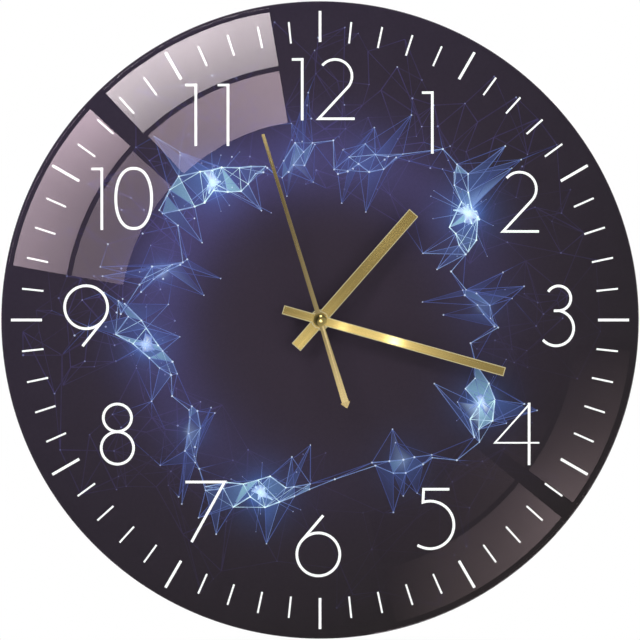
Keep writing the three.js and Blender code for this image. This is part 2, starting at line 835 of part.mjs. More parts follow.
function rotorPinion() {
  const pinion = pinionOf(rotorPair, rotorDistance, rotorDirection + 180, intermediateLayer);
  const length = { from: plateLayer.to - pivotDepth, to: magnetLayer.to + bossRoom + pivotDepth };
  return union(pinion, rod(hands, pivotRadius, length, pinFacets));
}

function rotorMagnet() {
  return ring(pivotRadius + pressGap, magnetRadius, magnetLayer);
}

function secondWheel() {
  const length = { from: thirdLayer.from - toothOverhang, to: secondLayer.to };
  const body = union(
    wheelOf(intermediatePair, intermediateDistance, intermediateDirection, secondLayer),
    pinionOf(thirdPair, thirdDistance, thirdDirection, thirdLayer),
    rod(hands, arborRadius + neckWall, { from: thirdLayer.to, to: secondLayer.from }, pinFacets),
  );
  return cut(body, rod(hands, arborRadius + pressGap, past(length), pinFacets));
}

function secondArbor() {
  const length = { from: secondHandLayer.from, to: secondLayer.to + bossRoom + pivotDepth };
  return rod(hands, arborRadius, length, pinFacets);
}

// Hands, drawn pointing at 12
function baton(reach, tail, width, hubRadius, bore, layer) {
  const bar = block(-width / 2, width / 2, -tail, reach, layer);
  return cut(union(bar, rod(hands, hubRadius, layer, hubFacets)), rod(hands, bore, past(layer)));
}

function hourHand() {
  const bore = hourTubeRadius + pressGap;
  return baton(hourHandReach, hourHandTail, hourHandWidth, hourHubRadius, bore, hourHandLayer);
}

function minuteHand() {
  const bore = minuteTubeRadius + pressGap;
  return baton(minuteHandReach, minuteHandTail, minuteHandWidth, minuteHubRadius, bore, minuteHandLayer);
}

function collar(tubeRadius, layer, facets = shaftFacets) {
  const bore = tubeRadius + pressGap;
  return ring(bore, bore + collarWall, layer, facets);
}

// A stretch of roof-shaped sheet between two heights, as wide as given at each end
function ridgedStretch(low, lowWidth, high, highWidth) {
  const points = [];
  const back = yOf(secondHandLayer.to);
  for (const [z, width] of [[low, lowWidth], [high, highWidth]]) {
    const ridge = (secondRidgeHeight * width) / secondArrowWidth;
    for (const side of [-1, 1]) {
      points.push(new THREE.Vector3((side * width) / 2, back, z));
      points.push(new THREE.Vector3((side * width) / 2, back - secondHandSheet, z));
    }
    points.push(new THREE.Vector3(0, back - secondHandSheet - ridge, z));
  }
  return toSolid(new ConvexGeometry(points));
}

function secondHand() {
  const shoulder = -secondHandTail + secondArrowLength;
  const body = union(
    ridgedStretch(0, secondHubWidth, secondHandReach, secondTipWidth),
    ridgedStretch(shoulder, secondTailWidth, 0, secondHubWidth),
    ridgedStretch(-secondHandTail, secondPointWidth, shoulder, secondArrowWidth),
    rod(hands, capRadius - capEdge, secondHandLayer),
  );
  return cut(body, rod(hands, arborRadius + pressGap, past(secondHandLayer), pinFacets));
}

function secondCap() {
  const back = secondHandLayer.from;
  const dome = capHeight - capEdge;
  const quarter = arcPoints(0, 0, 1, 0, 90, 5);
  const profile = quarter.map((p) => [capRadius * p.x, back - capEdge - dome * p.y]);
  return turned([[0, back], [capRadius, back], ...profile]);
}

// Adds a group for one body, placed on its arbor
const clock = new THREE.Group();

function bodyAt(place) {
  const group = new THREE.Group();
  group.position.set(place.x, 0, place.z);
  clock.add(group);
  return group;
}

// Names a solid, gives it a material, and puts it in its body's group
function addMesh(group, name, solid, material) {
  const mesh = solid.getMesh();
  const geometry = new THREE.BufferGeometry();
  geometry.setAttribute('position', new THREE.BufferAttribute(Float32Array.from(mesh.vertProperties), 3));
  geometry.setIndex(new THREE.BufferAttribute(Uint32Array.from(mesh.triVerts), 1));
  geometry.computeVertexNormals();
  const object = new THREE.Mesh(geometry, material.clone());
  object.name = name;
  group.add(object);
  return object;
}

// Adds a mesh that points at 12 and turns it clockwise, in degrees
function addTurned(group, name, solid, material, angle) {
  addMesh(group, name, solid, material).rotation.y = angle * degrees;
}

const fixed = bodyAt(hands);
addMesh(fixed, 'glass_panel', glassPanel(), glass);
addMesh(fixed, 'dial_print', dialPrint(), print);
addMesh(fixed, 'panel_gasket', gasket(), rubber);
addMesh(fixed, 'threaded_bushing', threadedBushing(), brass);
addMesh(fixed, 'front_washer', frontWasher(), blackMetal);
addMesh(fixed, 'hex_nut', hexNut(), blackMetal);
addMesh(fixed, 'wall_hanger', wallHanger(), steel);
addMesh(fixed, 'case_front', caseFront(), blackPlastic);
addMesh(fixed, 'case_back', caseBack(), blackPlastic);
addMesh(fixed, 'middle_plate', middlePlate(), whiteNylon);
addMesh(fixed, 'stator', statorPlate(), iron);
addMesh(fixed, 'coil_core', coilCore(), iron);
addMesh(fixed, 'coil_bobbin', coilBobbin(), bobbinPlastic);
addMesh(fixed, 'coil_winding', coilWinding(), copper);
addMesh(fixed, 'circuit_board', circuitBoard(), board);
addMesh(fixed, 'quartz_crystal', quartzCrystal(), nickel);
addMesh(fixed, 'contact_positive', contactPositive(), nickel);
addMesh(fixed, 'contact_negative', contactNegative(), nickel);
const chip = addMesh(fixed, 'chip_cover', chipCover(), resin);
chip.position.set((boardLeft + boardRight) / 2, 0, (boardLow + boardHigh) / 2);

const secondTrain = bodyAt(hands);
addTurned(secondTrain, 'second_hand', secondHand(), gold, secondHandAngle);
addMesh(secondTrain, 'second_cap', secondCap(), gold);
addMesh(secondTrain, 'second_pipe', collar(arborRadius, secondPipeLayer, pinFacets), brass);
addMesh(secondTrain, 'second_arbor', secondArbor(), steel);
addMesh(secondTrain, 'second_wheel', secondWheel(), whiteNylon);

const minuteTrain = bodyAt(hands);
addTurned(minuteTrain, 'minute_hand', minuteHand(), gold, minuteHandAngle);
addMesh(minuteTrain, 'minute_collar', collar(minuteTubeRadius, minuteCollarLayer), brass);
addMesh(minuteTrain, 'cannon_pinion', cannonPinion(), whiteNylon);

const hourTrain = bodyAt(hands);
addTurned(hourTrain, 'hour_hand', hourHand(), gold, hourHandAngle);
addMesh(hourTrain, 'hour_collar', collar(hourTubeRadius, hourCollarLayer), brass);
addMesh(hourTrain, 'hour_wheel', hourWheel(), whiteNylon);

addMesh(bodyAt(hands), 'centre_wheel', centreWheel(), whiteNylon);
addMesh(bodyAt(third), 'third_wheel', thirdWheel(), whiteNylon);
addMesh(bodyAt(intermediate), 'intermediate_wheel', intermediateWheel(), whiteNylon);

const rotorTrain = bodyAt(rotor);
addMesh(rotorTrain, 'rotor_pinion', rotorPinion(), whiteNylon);
addMesh(rotorTrain, 'rotor_magnet', rotorMagnet(), magnet);

const settingTrain = bodyAt(setting);
addMesh(settingTrain, 'minute_wheel', minuteWheel(), whiteNylon);
addMesh(settingTrain, 'setting_knob', settingKnob(), whiteNylon);

const cell = bodyAt(hands);
addMesh(cell, 'battery', battery(), batteryJacket);
addMesh(cell, 'battery_terminal', batteryTerminal(), nickel);

export default clock;
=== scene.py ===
import json
import random
from math import acos, atan2, copysign, cos, degrees, exp, hypot, pi, radians, sin

import bpy
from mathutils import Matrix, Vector

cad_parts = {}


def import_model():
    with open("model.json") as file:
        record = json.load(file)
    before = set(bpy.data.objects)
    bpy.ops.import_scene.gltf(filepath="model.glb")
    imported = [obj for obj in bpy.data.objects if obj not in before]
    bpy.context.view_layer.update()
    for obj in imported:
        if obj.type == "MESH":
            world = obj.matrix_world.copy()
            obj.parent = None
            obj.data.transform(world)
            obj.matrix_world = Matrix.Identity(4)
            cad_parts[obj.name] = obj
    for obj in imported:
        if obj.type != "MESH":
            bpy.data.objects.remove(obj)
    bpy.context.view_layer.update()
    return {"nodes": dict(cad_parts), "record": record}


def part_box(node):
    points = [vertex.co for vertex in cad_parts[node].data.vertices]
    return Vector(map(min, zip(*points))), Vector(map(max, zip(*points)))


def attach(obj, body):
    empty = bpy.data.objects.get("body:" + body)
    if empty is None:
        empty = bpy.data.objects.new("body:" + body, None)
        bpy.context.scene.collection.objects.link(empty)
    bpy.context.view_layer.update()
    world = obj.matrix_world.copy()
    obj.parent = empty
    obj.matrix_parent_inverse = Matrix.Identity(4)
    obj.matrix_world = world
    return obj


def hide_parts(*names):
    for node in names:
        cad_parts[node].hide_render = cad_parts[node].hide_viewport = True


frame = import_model()
nodes = frame["nodes"]
bpy.context.scene.view_settings.view_transform = "Standard"
bodies = {n: body for body, names in frame["record"]["behaviour"]["bodies"].items() for n in names}
slots = {part["node"]: part["material_slot"] for part in frame["record"]["subparts"]}

MM = 0.001

# The dial in the photograph: its middle and radius in pixels
PHOTO_SIZE = 640
PHOTO_MIDDLE = (320.0, 320.2)
PHOTO_RADIUS = 318.9
DIAL_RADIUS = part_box("glass_panel")[1].x
PIXEL = DIAL_RADIUS / PHOTO_RADIUS

# Planes of the glass and the print, and those of the inks between them
GLASS_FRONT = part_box("glass_panel")[0].y
GLASS_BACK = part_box("glass_panel")[1].y
PRINT_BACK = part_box("dial_print")[1].y
PRINT_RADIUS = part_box("dial_print")[1].x
HOLE_RADIUS = 4.3 * MM
GROUND_FRONT = GLASS_BACK + 0.12 * MM
FAR_NET_FRONT = GLASS_BACK + 0.10 * MM
FILL_FRONT = GLASS_BACK + 0.08 * MM
NET_FRONT = GLASS_BACK + 0.06 * MM
SPARK_FRONT = GLASS_BACK + 0.04 * MM
NUMBER_FRONT = GLASS_BACK + 0.02 * MM
INK_THICKNESS = 0.01 * MM
FILL_STEP = 0.005 * MM

# Marks of one ink lie at many levels, so that those which cross don't share a plane
LEVEL_STEP = 0.00004 * MM
LEVEL_COUNT = 200

# Where the hands point, in degrees clockwise from 12
HAND_ANGLES = {"hour_hand": 41.2, "minute_hand": 105.7, "second_hand": -17.1}

CAMERA_DISTANCE = 3.0


def linear(red, green, blue):
    """A colour as it is seen on a screen, 0 to 255, as the linear numbers that shaders use."""
    shares = [c / 255 for c in (red, green, blue)]
    return tuple(c / 12.92 if c <= 0.04045 else ((c + 0.055) / 1.055) ** 2.4 for c in shares)


def arrange(thing, **settings):
    """Sets attributes of a thing, and gives it back."""
    for name, value in settings.items():
        setattr(thing, name, value)
    return thing


def new_object(name, data):
    made = bpy.data.objects.new(name, data)
    bpy.context.scene.collection.objects.link(made)
    return made


# Camera
def make_camera():
    camera = new_object("camera", bpy.data.cameras.new("camera"))
    bpy.context.scene.camera = camera
    half_frame = PIXEL * PHOTO_SIZE / 2
    lens = camera.data.sensor_width / 2 * CAMERA_DISTANCE / half_frame
    arrange(camera.data, lens=lens, clip_start=0.05, clip_end=50)
    camera.location = (0, GLASS_FRONT - CAMERA_DISTANCE, 0)
    camera.rotation_euler = (radians(90), 0, 0)


make_camera()


# Meshes
def circle(count, radius):
    """Points of a circle as (x, z), from +X towards +Z."""
    turns = [2 * pi * i / count for i in range(count)]
    return [(radius * cos(turn), radius * sin(turn)) for turn in turns]


def faces_between(one, two, count):
    """Faces between two rings of points, given by the number of each ring's first point."""
    following = [(i + 1) % count for i in range(count)]
    return [(one + i, one + j, two + j, two + i) for i, j in enumerate(following)]


def add_mesh(name, points, faces, material, body="root"):
    mesh = bpy.data.meshes.new(name)
    mesh.from_pydata(points, [], faces)
    mesh.validate()
    piece = new_object(name, mesh)
    mesh.materials.append(material)
    if body is not None:
        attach(piece, body)
    return piece


def give_colours(piece, name, colours):
    """One linear colour for each point of a mesh."""
    layer = piece.data.color_attributes.new(name, "FLOAT_COLOR", "POINT")
    layer.data.foreach_set("color", [c for colour in colours for c in (*colour, 1.0)])


ON_AXIS = 1e-7
CREASE = radians(30)


def lathe(name, profile, material, body, segments, centre=(0, 0, 0)):
    """A closed profile of (radius, y) turned round Y: a solid if it starts on the axis, or else a ring."""
    points, faces, rings = [], [], []
    for radius, along in profile:
        turned = [(0, 0)] if radius < ON_AXIS else circle(segments, radius)
        rings.append(range(len(points), len(points) + len(turned)))
        points += [(x + centre[0], along + centre[1], z + centre[2]) for x, z in turned]
    pairs = list(zip(rings, rings[1:]))
    if len(rings[0]) > 1:
        pairs.append((rings[-1], rings[0]))
    for one, two in pairs:
        for i in range(segments):
            j = (i + 1) % segments
            if len(one) == 1:
                faces.append((one[0], two[j], two[i]))
            elif len(two) == 1:
                faces.append((one[i], one[j], two[0]))
            else:
                faces.append((one[i], one[j], two[j], two[i]))
    piece = add_mesh(name, points, faces, material, body)
    face_out(piece)
    piece.data.shade_smooth()
    piece.data.set_sharp_from_angle(angle=CREASE)
    return piece


def face_out(piece):
    """Turns all faces of a closed mesh outwards."""
    mesh = piece.data
    volume = 0.0
    for face in mesh.polygons:
        corners = [mesh.vertices[i].co for i in face.vertices]
        for two, three in zip(corners[1:], corners[2:]):
            volume += corners[0].dot(two.cross(three))
    if volume < 0:
        mesh.flip_normals()


SHARED_POINT = 0.0005 * MM
BEVEL_FROM = radians(35)


def bevelled(piece, width):
    """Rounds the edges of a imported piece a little."""
    arrange(piece.modifiers.new("joined", "WELD"), merge_threshold=SHARED_POINT)
    bevel = piece.modifiers.new("edges", "BEVEL")
    arrange(bevel, width=width, segments=2, limit_method="ANGLE", angle_limit=BEVEL_FROM)


# Tolerances for a point in the front plane, for points that are one and for faces in one plane
ON_FRONT = 0.01 * MM
SAME_POINT = 0.03 * MM
SAME_PLANE = radians(0.5)


def front_chamfer(piece, width, inner, material):
    """Chamfers the front edges of a flat piece, outside the given radius, with a material of their own."""
    points = [(v.index, *v.co) for v in piece.data.vertices]
    front = min(y for _, _, y, _ in points) + ON_FRONT
    chosen = [index for index, x, y, z in points if y < front and hypot(x, z) > inner]
    piece.vertex_groups.new(name="front").add(chosen, 1.0, "REPLACE")
    piece.data.shade_flat()
    piece.data.materials.append(material)
    arrange(piece.modifiers.new("joined", "WELD"), merge_threshold=SAME_POINT)
    flat = piece.modifiers.new("flat", "DECIMATE")
    arrange(flat, decimate_type="DISSOLVE", angle_limit=SAME_PLANE)
    bevel = piece.modifiers.new("chamfer", "BEVEL")
    arrange(bevel, width=width, segments=1, limit_method="VGROUP", vertex_group="front", material=1)
    arrange(bevel, use_clamp_overlap=False, loop_slide=False)


# Materials
def node(tree, kind, inputs=None, **settings):
    """Outputs of a new shader node with these inputs, each a value or the output that feeds it."""
    made = arrange(tree.nodes.new("ShaderNode" + kind), **settings)
    for name, value in (inputs or {}).items():
        if isinstance(value, bpy.types.NodeSocket):
            tree.links.new(value, made.inputs[name])
        else:
            made.inputs[name].default_value = value
    return made.outputs


def new_material(name, **plain):
    """A material with one Principled shader, whose plain values are set here."""
    material = bpy.data.materials.new(name)
    material.use_nodes = True
    shader = material.node_tree.nodes["Principled BSDF"]
    for socket, value in plain.items():
        shader.inputs[socket.replace("_", " ")].default_value = value
    return material, material.node_tree, shader


def feed(tree, shader, **outputs):
    """Links outputs to the shader's sockets, whose spaces are written as _."""
    for socket, output in outputs.items():
        tree.links.new(output, shader.inputs[socket.replace("_", " ")])


def show(tree, surface):
    tree.links.new(surface, tree.nodes["Material Output"].inputs["Surface"])


def calculate(tree, operation, one, two):
    return node(tree, "Math", {0: one, 1: two}, operation=operation)[0]


def place(tree, scale=(1, 1, 1), turn=0.0):
    """Object coordinates, turned about Y and then scaled."""
    there = node(tree, "TexCoord")["Object"]
    if turn:
        about = {"Vector": there, "Angle": turn}
        there = node(tree, "VectorRotate", about, rotation_type="Y_AXIS")[0]
    return node(tree, "VectorMath", {0: there, 1: scale}, operation="MULTIPLY")[0]


def noise(tree, where, scale, detail=2.0, roughness=0.5):
    values = {"Vector": where, "Scale": scale, "Detail": detail, "Roughness": roughness}
    return node(tree, "TexNoise", values)["Fac"]


def scaled(tree, colour, factor):
    values = {0: colour, "Scale": factor}
    return node(tree, "VectorMath", values, operation="SCALE")[0]


def between(tree, share, low, high, bottom=0.0, top=1.0, **settings):
    """Maps share from bottom..top to low..high."""
    values = {"Value": share, "From Min": bottom, "From Max": top, "To Min": low, "To Max": high}
    return node(tree, "MapRange", values, **settings)["Result"]


def blend_colours(tree, share, one, two):
    """A mix of two colours, each an output or a tuple of red, green and blue."""
    ends = [(*colour[:3], 1.0) if isinstance(colour, tuple) else colour for colour in (one, two)]
    return node(tree, "Mix", {0: share, 6: ends[0], 7: ends[1]}, data_type="RGBA")[2]


def bump(tree, shader, height, strength, distance):
    values = {"Height": height, "Strength": strength, "Distance": distance}
    feed(tree, shader, Normal=node(tree, "Bump", values)[0])


def grained(name, colour, roughness, grain, contrast, bumps=0.0, **plain):
    """A moulded, cast or plated finish: colour and roughness vary with a fine and a broad noise."""
    material, tree, shader = new_material(name, **plain)
    where = place(tree)
    fine = noise(tree, where, 1 / (grain * MM), 3.0)
    broad = noise(tree, where, 1 / (12 * grain * MM))
    dark = tuple(c * (1 - contrast) for c in colour)
    light = tuple(min(1.0, c * (1 + contrast)) for c in colour)
    shade = between(tree, calculate(tree, "ADD", fine, broad), 0, 1, 0.6, 1.4)
    rough = between(tree, broad, roughness * 0.85, roughness * 1.15, 0.3, 0.7)
    feed(tree, shader, Base_Color=blend_colours(tree, shade, dark, light), Roughness=rough)
    if bumps:
        bump(tree, shader, fine, bumps, 0.02 * MM)
    return material


# Width of the rings that turning leaves, and the darker and lighter strokes of each hand's gold
TURNING_RING = 0.15 * MM
BATON_TONES = ((0.77, 0.57, 0.19), (0.87, 0.655, 0.235))
GOLD_TONES = {
    "hour_hand": BATON_TONES,
    "minute_hand": BATON_TONES,
    "second_hand": ((0.72, 0.55, 0.25), (0.82, 0.645, 0.31)),
}


def brushed_gold(name, angle, tones):
    """Gold brushed along a hand that points in the given direction, in degrees clockwise from 12."""
    material, tree, shader = new_material(name, Metallic=1.0, Anisotropic=1.0)
    turn = radians(angle)
    strokes = noise(tree, place(tree, (5200, 5200, 45), -turn), 1.0, 4.0, 0.6)
    broad = noise(tree, place(tree, (700, 700, 16), -turn), 1.0)
    shade = between(tree, calculate(tree, "ADD", strokes, broad), 0, 1, 0.7, 1.3)
    across = node(
        tree, "VectorTransform", {"Vector": (cos(turn), 0, -sin(turn))},
        vector_type="VECTOR", convert_from="OBJECT", convert_to="WORLD",
    )
    rough = between(tree, strokes, 0.225, 0.275, 0.3, 0.7)
    colour = blend_colours(tree, shade, *tones)
    feed(tree, shader, Base_Color=colour, Roughness=rough, Tangent=across[0])
    bump(tree, shader, strokes, 0.012, 0.01 * MM)
    return material


def turned_metal(name, colour, roughness):
    """Metal with fine rings round the Y axis from turning."""
    material, tree, shader = new_material(name, Metallic=1.0)
    where = node(tree, "SeparateXYZ", {0: place(tree)})
    flat = node(tree, "CombineXYZ", {"X": where["X"], "Y": where["Z"]})
    radius = node(tree, "VectorMath", {0: flat[0]}, operation="LENGTH")["Value"]
    rings = node(tree, "CombineXYZ", {"X": radius, "Y": where["Y"]})[0]
    lines = noise(tree, rings, 1 / TURNING_RING)
    dark = tuple(c * 0.85 for c in colour)
    shade = blend_colours(tree, between(tree, lines, 0, 1, 0.35, 0.65), dark, colour)
    rough = between(tree, lines, roughness * 0.8, roughness * 1.2, 0.3, 0.7)
    feed(tree, shader, Base_Color=shade, Roughness=rough)
    bump(tree, shader, lines, 0.1, 0.01 * MM)
    return material


def clear_glass():
    """Polished glass. Light from lamps, and what the print sends back, goes straight through."""
    tint = (0.985, 1.0, 0.992, 1.0)
    polished = {"Roughness": 0.0, "IOR": 1.5, "Transmission_Weight": 1.0, "Base_Color": tint}
    material, tree, shader = new_material("dial_glass", **polished)
    straight = node(tree, "BsdfTransparent", {"Color": (0.98, 0.985, 0.98, 1.0)})[0]
    rays = node(tree, "LightPath")
    surface = shader.outputs[0]
    for kind in ("Is Diffuse Ray", "Is Shadow Ray"):
        surface = node(tree, "MixShader", {0: rays[kind], 1: surface, 2: straight})[0]
    show(tree, surface)
    return material


def printed_ink():
    """Ink under the glass in the colours of the mesh, with the faint unevenness of a print."""
    material, tree, shader = new_material("printed_ink", Roughness=0.6, Specular_IOR_Level=0.0)
    ink = node(tree, "VertexColor", layer_name="ink")["Color"]
    uneven = between(tree, noise(tree, place(tree), 900, 3.0), 0.96, 1.04, 0.3, 0.7)
    feed(tree, shader, Base_Color=scaled(tree, ink, uneven))
    return material


def copper_winding():
    """Fine enamelled wire, wound round an axis along X."""
    material, tree, shader = new_material("copper_wire", Metallic=1.0, Roughness=0.35)
    bands = {"Vector": place(tree), "Scale": 1300.0, "Distortion": 0.6}
    wave = node(tree, "TexWave", bands, bands_direction="X")["Fac"]
    feed(tree, shader, Base_Color=blend_colours(tree, wave, (0.30, 0.09, 0.04), (0.72, 0.27, 0.13)))
    bump(tree, shader, wave, 0.6, 0.05 * MM)
    return material


# Along the battery: its bare end, the copper-coloured band at the other end and the bare stripe beside it
BARE_METAL = linear(205, 206, 204)
BARE_END = 0.4 * MM
COPPER_BAND = 11.5 * MM
BARE_STRIPE = 1 * MM


def cell_jacket():
    """A plain dark film sleeve, then a bare stripe and a copper-coloured band up to the positive end."""
    material, tree, shader = new_material("battery_jacket", Metallic=0.6)
    low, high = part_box("battery")
    length = high.x - low.x
    where = node(tree, "SeparateXYZ", {0: place(tree)})["X"]
    bands = node(tree, "ValToRGB", {"Fac": between(tree, where, 0, 1, low.x, high.x)})
    ramp = bands[0].node.color_ramp
    ramp.interpolation = "CONSTANT"
    ramp.elements[0].color = (*BARE_METAL, 1)
    ramp.elements[1].position = 1 - COPPER_BAND / length
    ramp.elements[1].color = (*linear(158, 104, 62), 1)
    for start, colour in ((BARE_END, linear(46, 50, 55)), (length - COPPER_BAND - BARE_STRIPE, BARE_METAL)):
        ramp.elements.new(start / length).color = (*colour, 1)
    grain = noise(tree, place(tree, (40, 1, 1)), 60, 3.0)
    dim = scaled(tree, bands["Color"], between(tree, grain, 0.9, 1.05))
    feed(tree, shader, Base_Color=dim, Roughness=between(tree, grain, 0.28, 0.4))
    return material


def housing_plastic():
    """Black moulded plastic with a fine spark-eroded texture."""
    material, tree, shader = new_material("black_housing")
    where = place(tree)
    cells = node(tree, "TexVoronoi", {"Vector": where, "Scale": 3200.0})["Distance"]
    broad = noise(tree, where, 60, 3.0)
    colour = blend_colours(tree, broad, linear(30, 31, 33), linear(42, 43, 46))
    feed(tree, shader, Base_Color=colour, Roughness=between(tree, broad, 0.42, 0.56, 0.3, 0.7))
    bump(tree, shader, cells, 0.25, 0.03 * MM)
    return material


GOLDS = {name: brushed_gold("gold_" + name, angle, GOLD_TONES[name]) for name, angle in HAND_ANGLES.items()}
WHITE = (0.97, 0.97, 0.97)
MATERIALS = {
    "dial_glass": clear_glass(),
    "dial_ink": grained("white_backing", (0.80, 0.80, 0.79), 0.6, 0.3, 0.03),
    "brushed_gold": turned_metal("cap_gold", (0.80, 0.62, 0.22), 0.16),
    "plain_brass": turned_metal("plain_brass", (0.62, 0.45, 0.16), 0.25),
    "arbor_steel": turned_metal("arbor_steel", (0.55, 0.56, 0.58), 0.2),
    "black_housing": housing_plastic(),
    "copper_wire": copper_winding(),
    "battery_jacket": cell_jacket(),
}

# Colour, roughness, grain in millimetres, contrast, bumps and metallic
FINISHES = {
    "black_metal": ((0.012, 0.012, 0.013), 0.35, 0.2, 0.2, 0.0, 0.5),
    "zinc_steel": ((0.56, 0.57, 0.60), 0.3, 0.8, 0.1, 0.05, 1.0),
    "black_rubber": ((0.012, 0.012, 0.013), 0.8, 0.2, 0.25, 0.3, 0.0),
    "white_nylon": ((0.80, 0.79, 0.74), 0.42, 0.4, 0.04, 0.08, 0.0),
    "soft_iron": ((0.32, 0.33, 0.35), 0.42, 0.5, 0.12, 0.1, 1.0),
    "magnet": ((0.05, 0.05, 0.06), 0.4, 0.2, 0.2, 0.2, 0.8),
    "bobbin_plastic": ((0.62, 0.58, 0.48), 0.5, 0.4, 0.06, 0.1, 0.0),
    "board": ((0.05, 0.15, 0.07), 0.4, 0.25, 0.3, 0.2, 0.0),
    "resin": ((0.008, 0.008, 0.009), 0.25, 0.6, 0.2, 0.1, 0.0),
    "nickel": ((0.62, 0.61, 0.57), 0.25, 0.6, 0.08, 0.05, 1.0),
}
for finish, (*values, metallic) in FINISHES.items():
    MATERIALS[finish] = grained(finish, *values, Metallic=metallic)
INK = printed_ink()
NUMBER_INK = grained("number_ink", WHITE, 0.6, 0.4, 0.02, Specular_IOR_Level=0.0)


def dress_nodes():
    """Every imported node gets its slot's material; a hand gets the gold brushed along it."""
    for name, piece in nodes.items():
        piece.data.materials.clear()
        piece.data.materials.append(GOLDS.get(name) or MATERIALS[slots[name]])


dress_nodes()
# The hour and minute hands' front chamfers are real polished bevels, but their gold is paler than the hands'
# own: a painted highlight along the edges
POLISHED_PAINTED_HIGHLIGHT_GOLD = turned_metal("polished_painted_highlight_gold", (0.95, 0.83, 0.48), 0.2)
for hand in ("hour_hand", "minute_hand"):
    front_chamfer(nodes[hand], 0.4 * MM, 3.5 * MM, POLISHED_PAINTED_HIGHLIGHT_GOLD)
bevelled(nodes["second_hand"], 0.12 * MM)
for shell in ("case_front", "case_back", "middle_plate"):
    bevelled(nodes[shell], 0.25 * MM)
for strip in ("wall_hanger", "contact_positive", "contact_negative", "stator", "hex_nut"):
    bevelled(nodes[strip], 0.1 * MM)


# Printed dial: the ground's colour at a place
RING_RADIUS = 80 * MM
RING_WIDTH = 19 * MM
MIDDLE_COLOUR = linear(51, 43, 54)
RIM_COLOUR = linear(36, 32, 33)
NIGHT_COLOUR = linear(48, 41, 55)
HALO_LIGHT = (0.028, 0.025, 0.096)
GLOW_LIGHT = (0.040, 0.150, 0.50)
CORE_LIGHT = (0.9, 1.1, 1.1)
BRIGHT_SIDE = 322

# Strands: direction and radius of the middle, span in degrees, width, slant, and how much the core shines
STRANDS = (
    (16, 79, 20, 13, 16, 0.25),
    (54, 86, 24, 17, -20, 1.0),
    (85, 77, 15, 9, 12, 0.15),
    (117, 85, 22, 13, 18, 0.65),
    (150, 78, 18, 9, -10, 0.2),
    (199, 86, 30, 15, 16, 0.9),
    (229, 80, 14, 8, -14, 0.2),
    (262, 83, 26, 16, 18, 0.6),
    (287, 78, 14, 8, -14, 0.25),
    (322, 82, 36, 16, -16, 1.0),
    (351, 76, 14, 10, 12, 0.2),
)


def on_dial(direction, radius):
    """A place on the dial from its direction, in degrees clockwise from 12, and its radius."""
    turn = radians(direction)
    return radius * sin(turn), radius * cos(turn)


def mixed(one, two, share):
    return tuple(a + (b - a) * share for a, b in zip(one, two))


def over_three(values, share):
    """A value that runs evenly from the first over the second to the third."""
    first, middle, last = values
    if share < 0.5:
        return first + (middle - first) * (2 * share)
    return middle + (last - middle) * (2 * share - 1)


def distance(one, two):
    return hypot(one[0] - two[0], one[1] - two[1])


def bell(value, width):
    return exp(-((value / width) ** 2))


def side_share(direction):
    """1 on the bright upper left side of the dial, 0 opposite."""
    return 0.5 + 0.5 * cos(radians(direction - BRIGHT_SIDE))


def ground_colour(x, z):
    radius = hypot(x, z)
    bright = side_share(degrees(atan2(x, z)))
    outward = min(1.0, radius / DIAL_RADIUS)
    colour = mixed(MIDDLE_COLOUR, mixed(RIM_COLOUR, NIGHT_COLOUR, bright), outward**1.5)
    halo = bell(radius - RING_RADIUS + 3 * MM, RING_WIDTH) * (0.04 + 0.96 * bright**1.2)
    light = [halo * c for c in HALO_LIGHT]
    for direction, middle, _, _, _, core in STRANDS:
        away = distance((x, z), on_dial(direction, middle * MM))
        glow = core * (0.85 * bell(away, 5.5 * MM) + 0.20 * bell(away, 14 * MM))
        heart = core * bell(away, 2.2 * MM)
        light = [l + glow * g + heart * h for l, g, h in zip(light, GLOW_LIGHT, CORE_LIGHT)]
    return tuple(min(1.0, c + l) for c, l in zip(colour, light))


def ring_radii():
    """Radii of the ground's rings: close together where the network glows."""
    radii = [HOLE_RADIUS]
    while radii[-1] < PRINT_RADIUS - 2 * MM:
        near = bell(radii[-1] - RING_RADIUS, 28 * MM)
        radii.append(radii[-1] + (3.0 - 2.1 * near) * MM)
    return [*radii[:-1], PRINT_RADIUS]


GROUND_SEGMENTS = 400


def dial_ground():
    """The print's closed sheet: a coloured front, and a back of white ink."""
    radii = ring_radii()
    points, faces = [], []
    for radius in radii:
        points += [(x, GROUND_FRONT, z) for x, z in circle(GROUND_SEGMENTS, radius)]
    colours = [ground_colour(x, z) for x, _, z in points]
    inner = len(points)
    outer = inner + GROUND_SEGMENTS
    for radius in (radii[0], radii[-1]):
        points += [(x, PRINT_BACK, z) for x, z in circle(GROUND_SEGMENTS, radius)]
    colours += [RIM_COLOUR] * (2 * GROUND_SEGMENTS)
    rings = [*range(0, inner, GROUND_SEGMENTS), outer, inner, 0]
    for one, two in zip(rings, rings[1:]):
        faces += faces_between(one, two, GROUND_SEGMENTS)
    piece = add_mesh("dial_ground", points, faces, INK)
    face_out(piece)
    give_colours(piece, "ink", colours)
    piece.data.materials.append(MATERIALS["dial_ink"])
    for face in piece.data.polygons:
        if face.normal.y > 0.5:
            face.material_index = 1
    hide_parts("dial_print")


dial_ground()


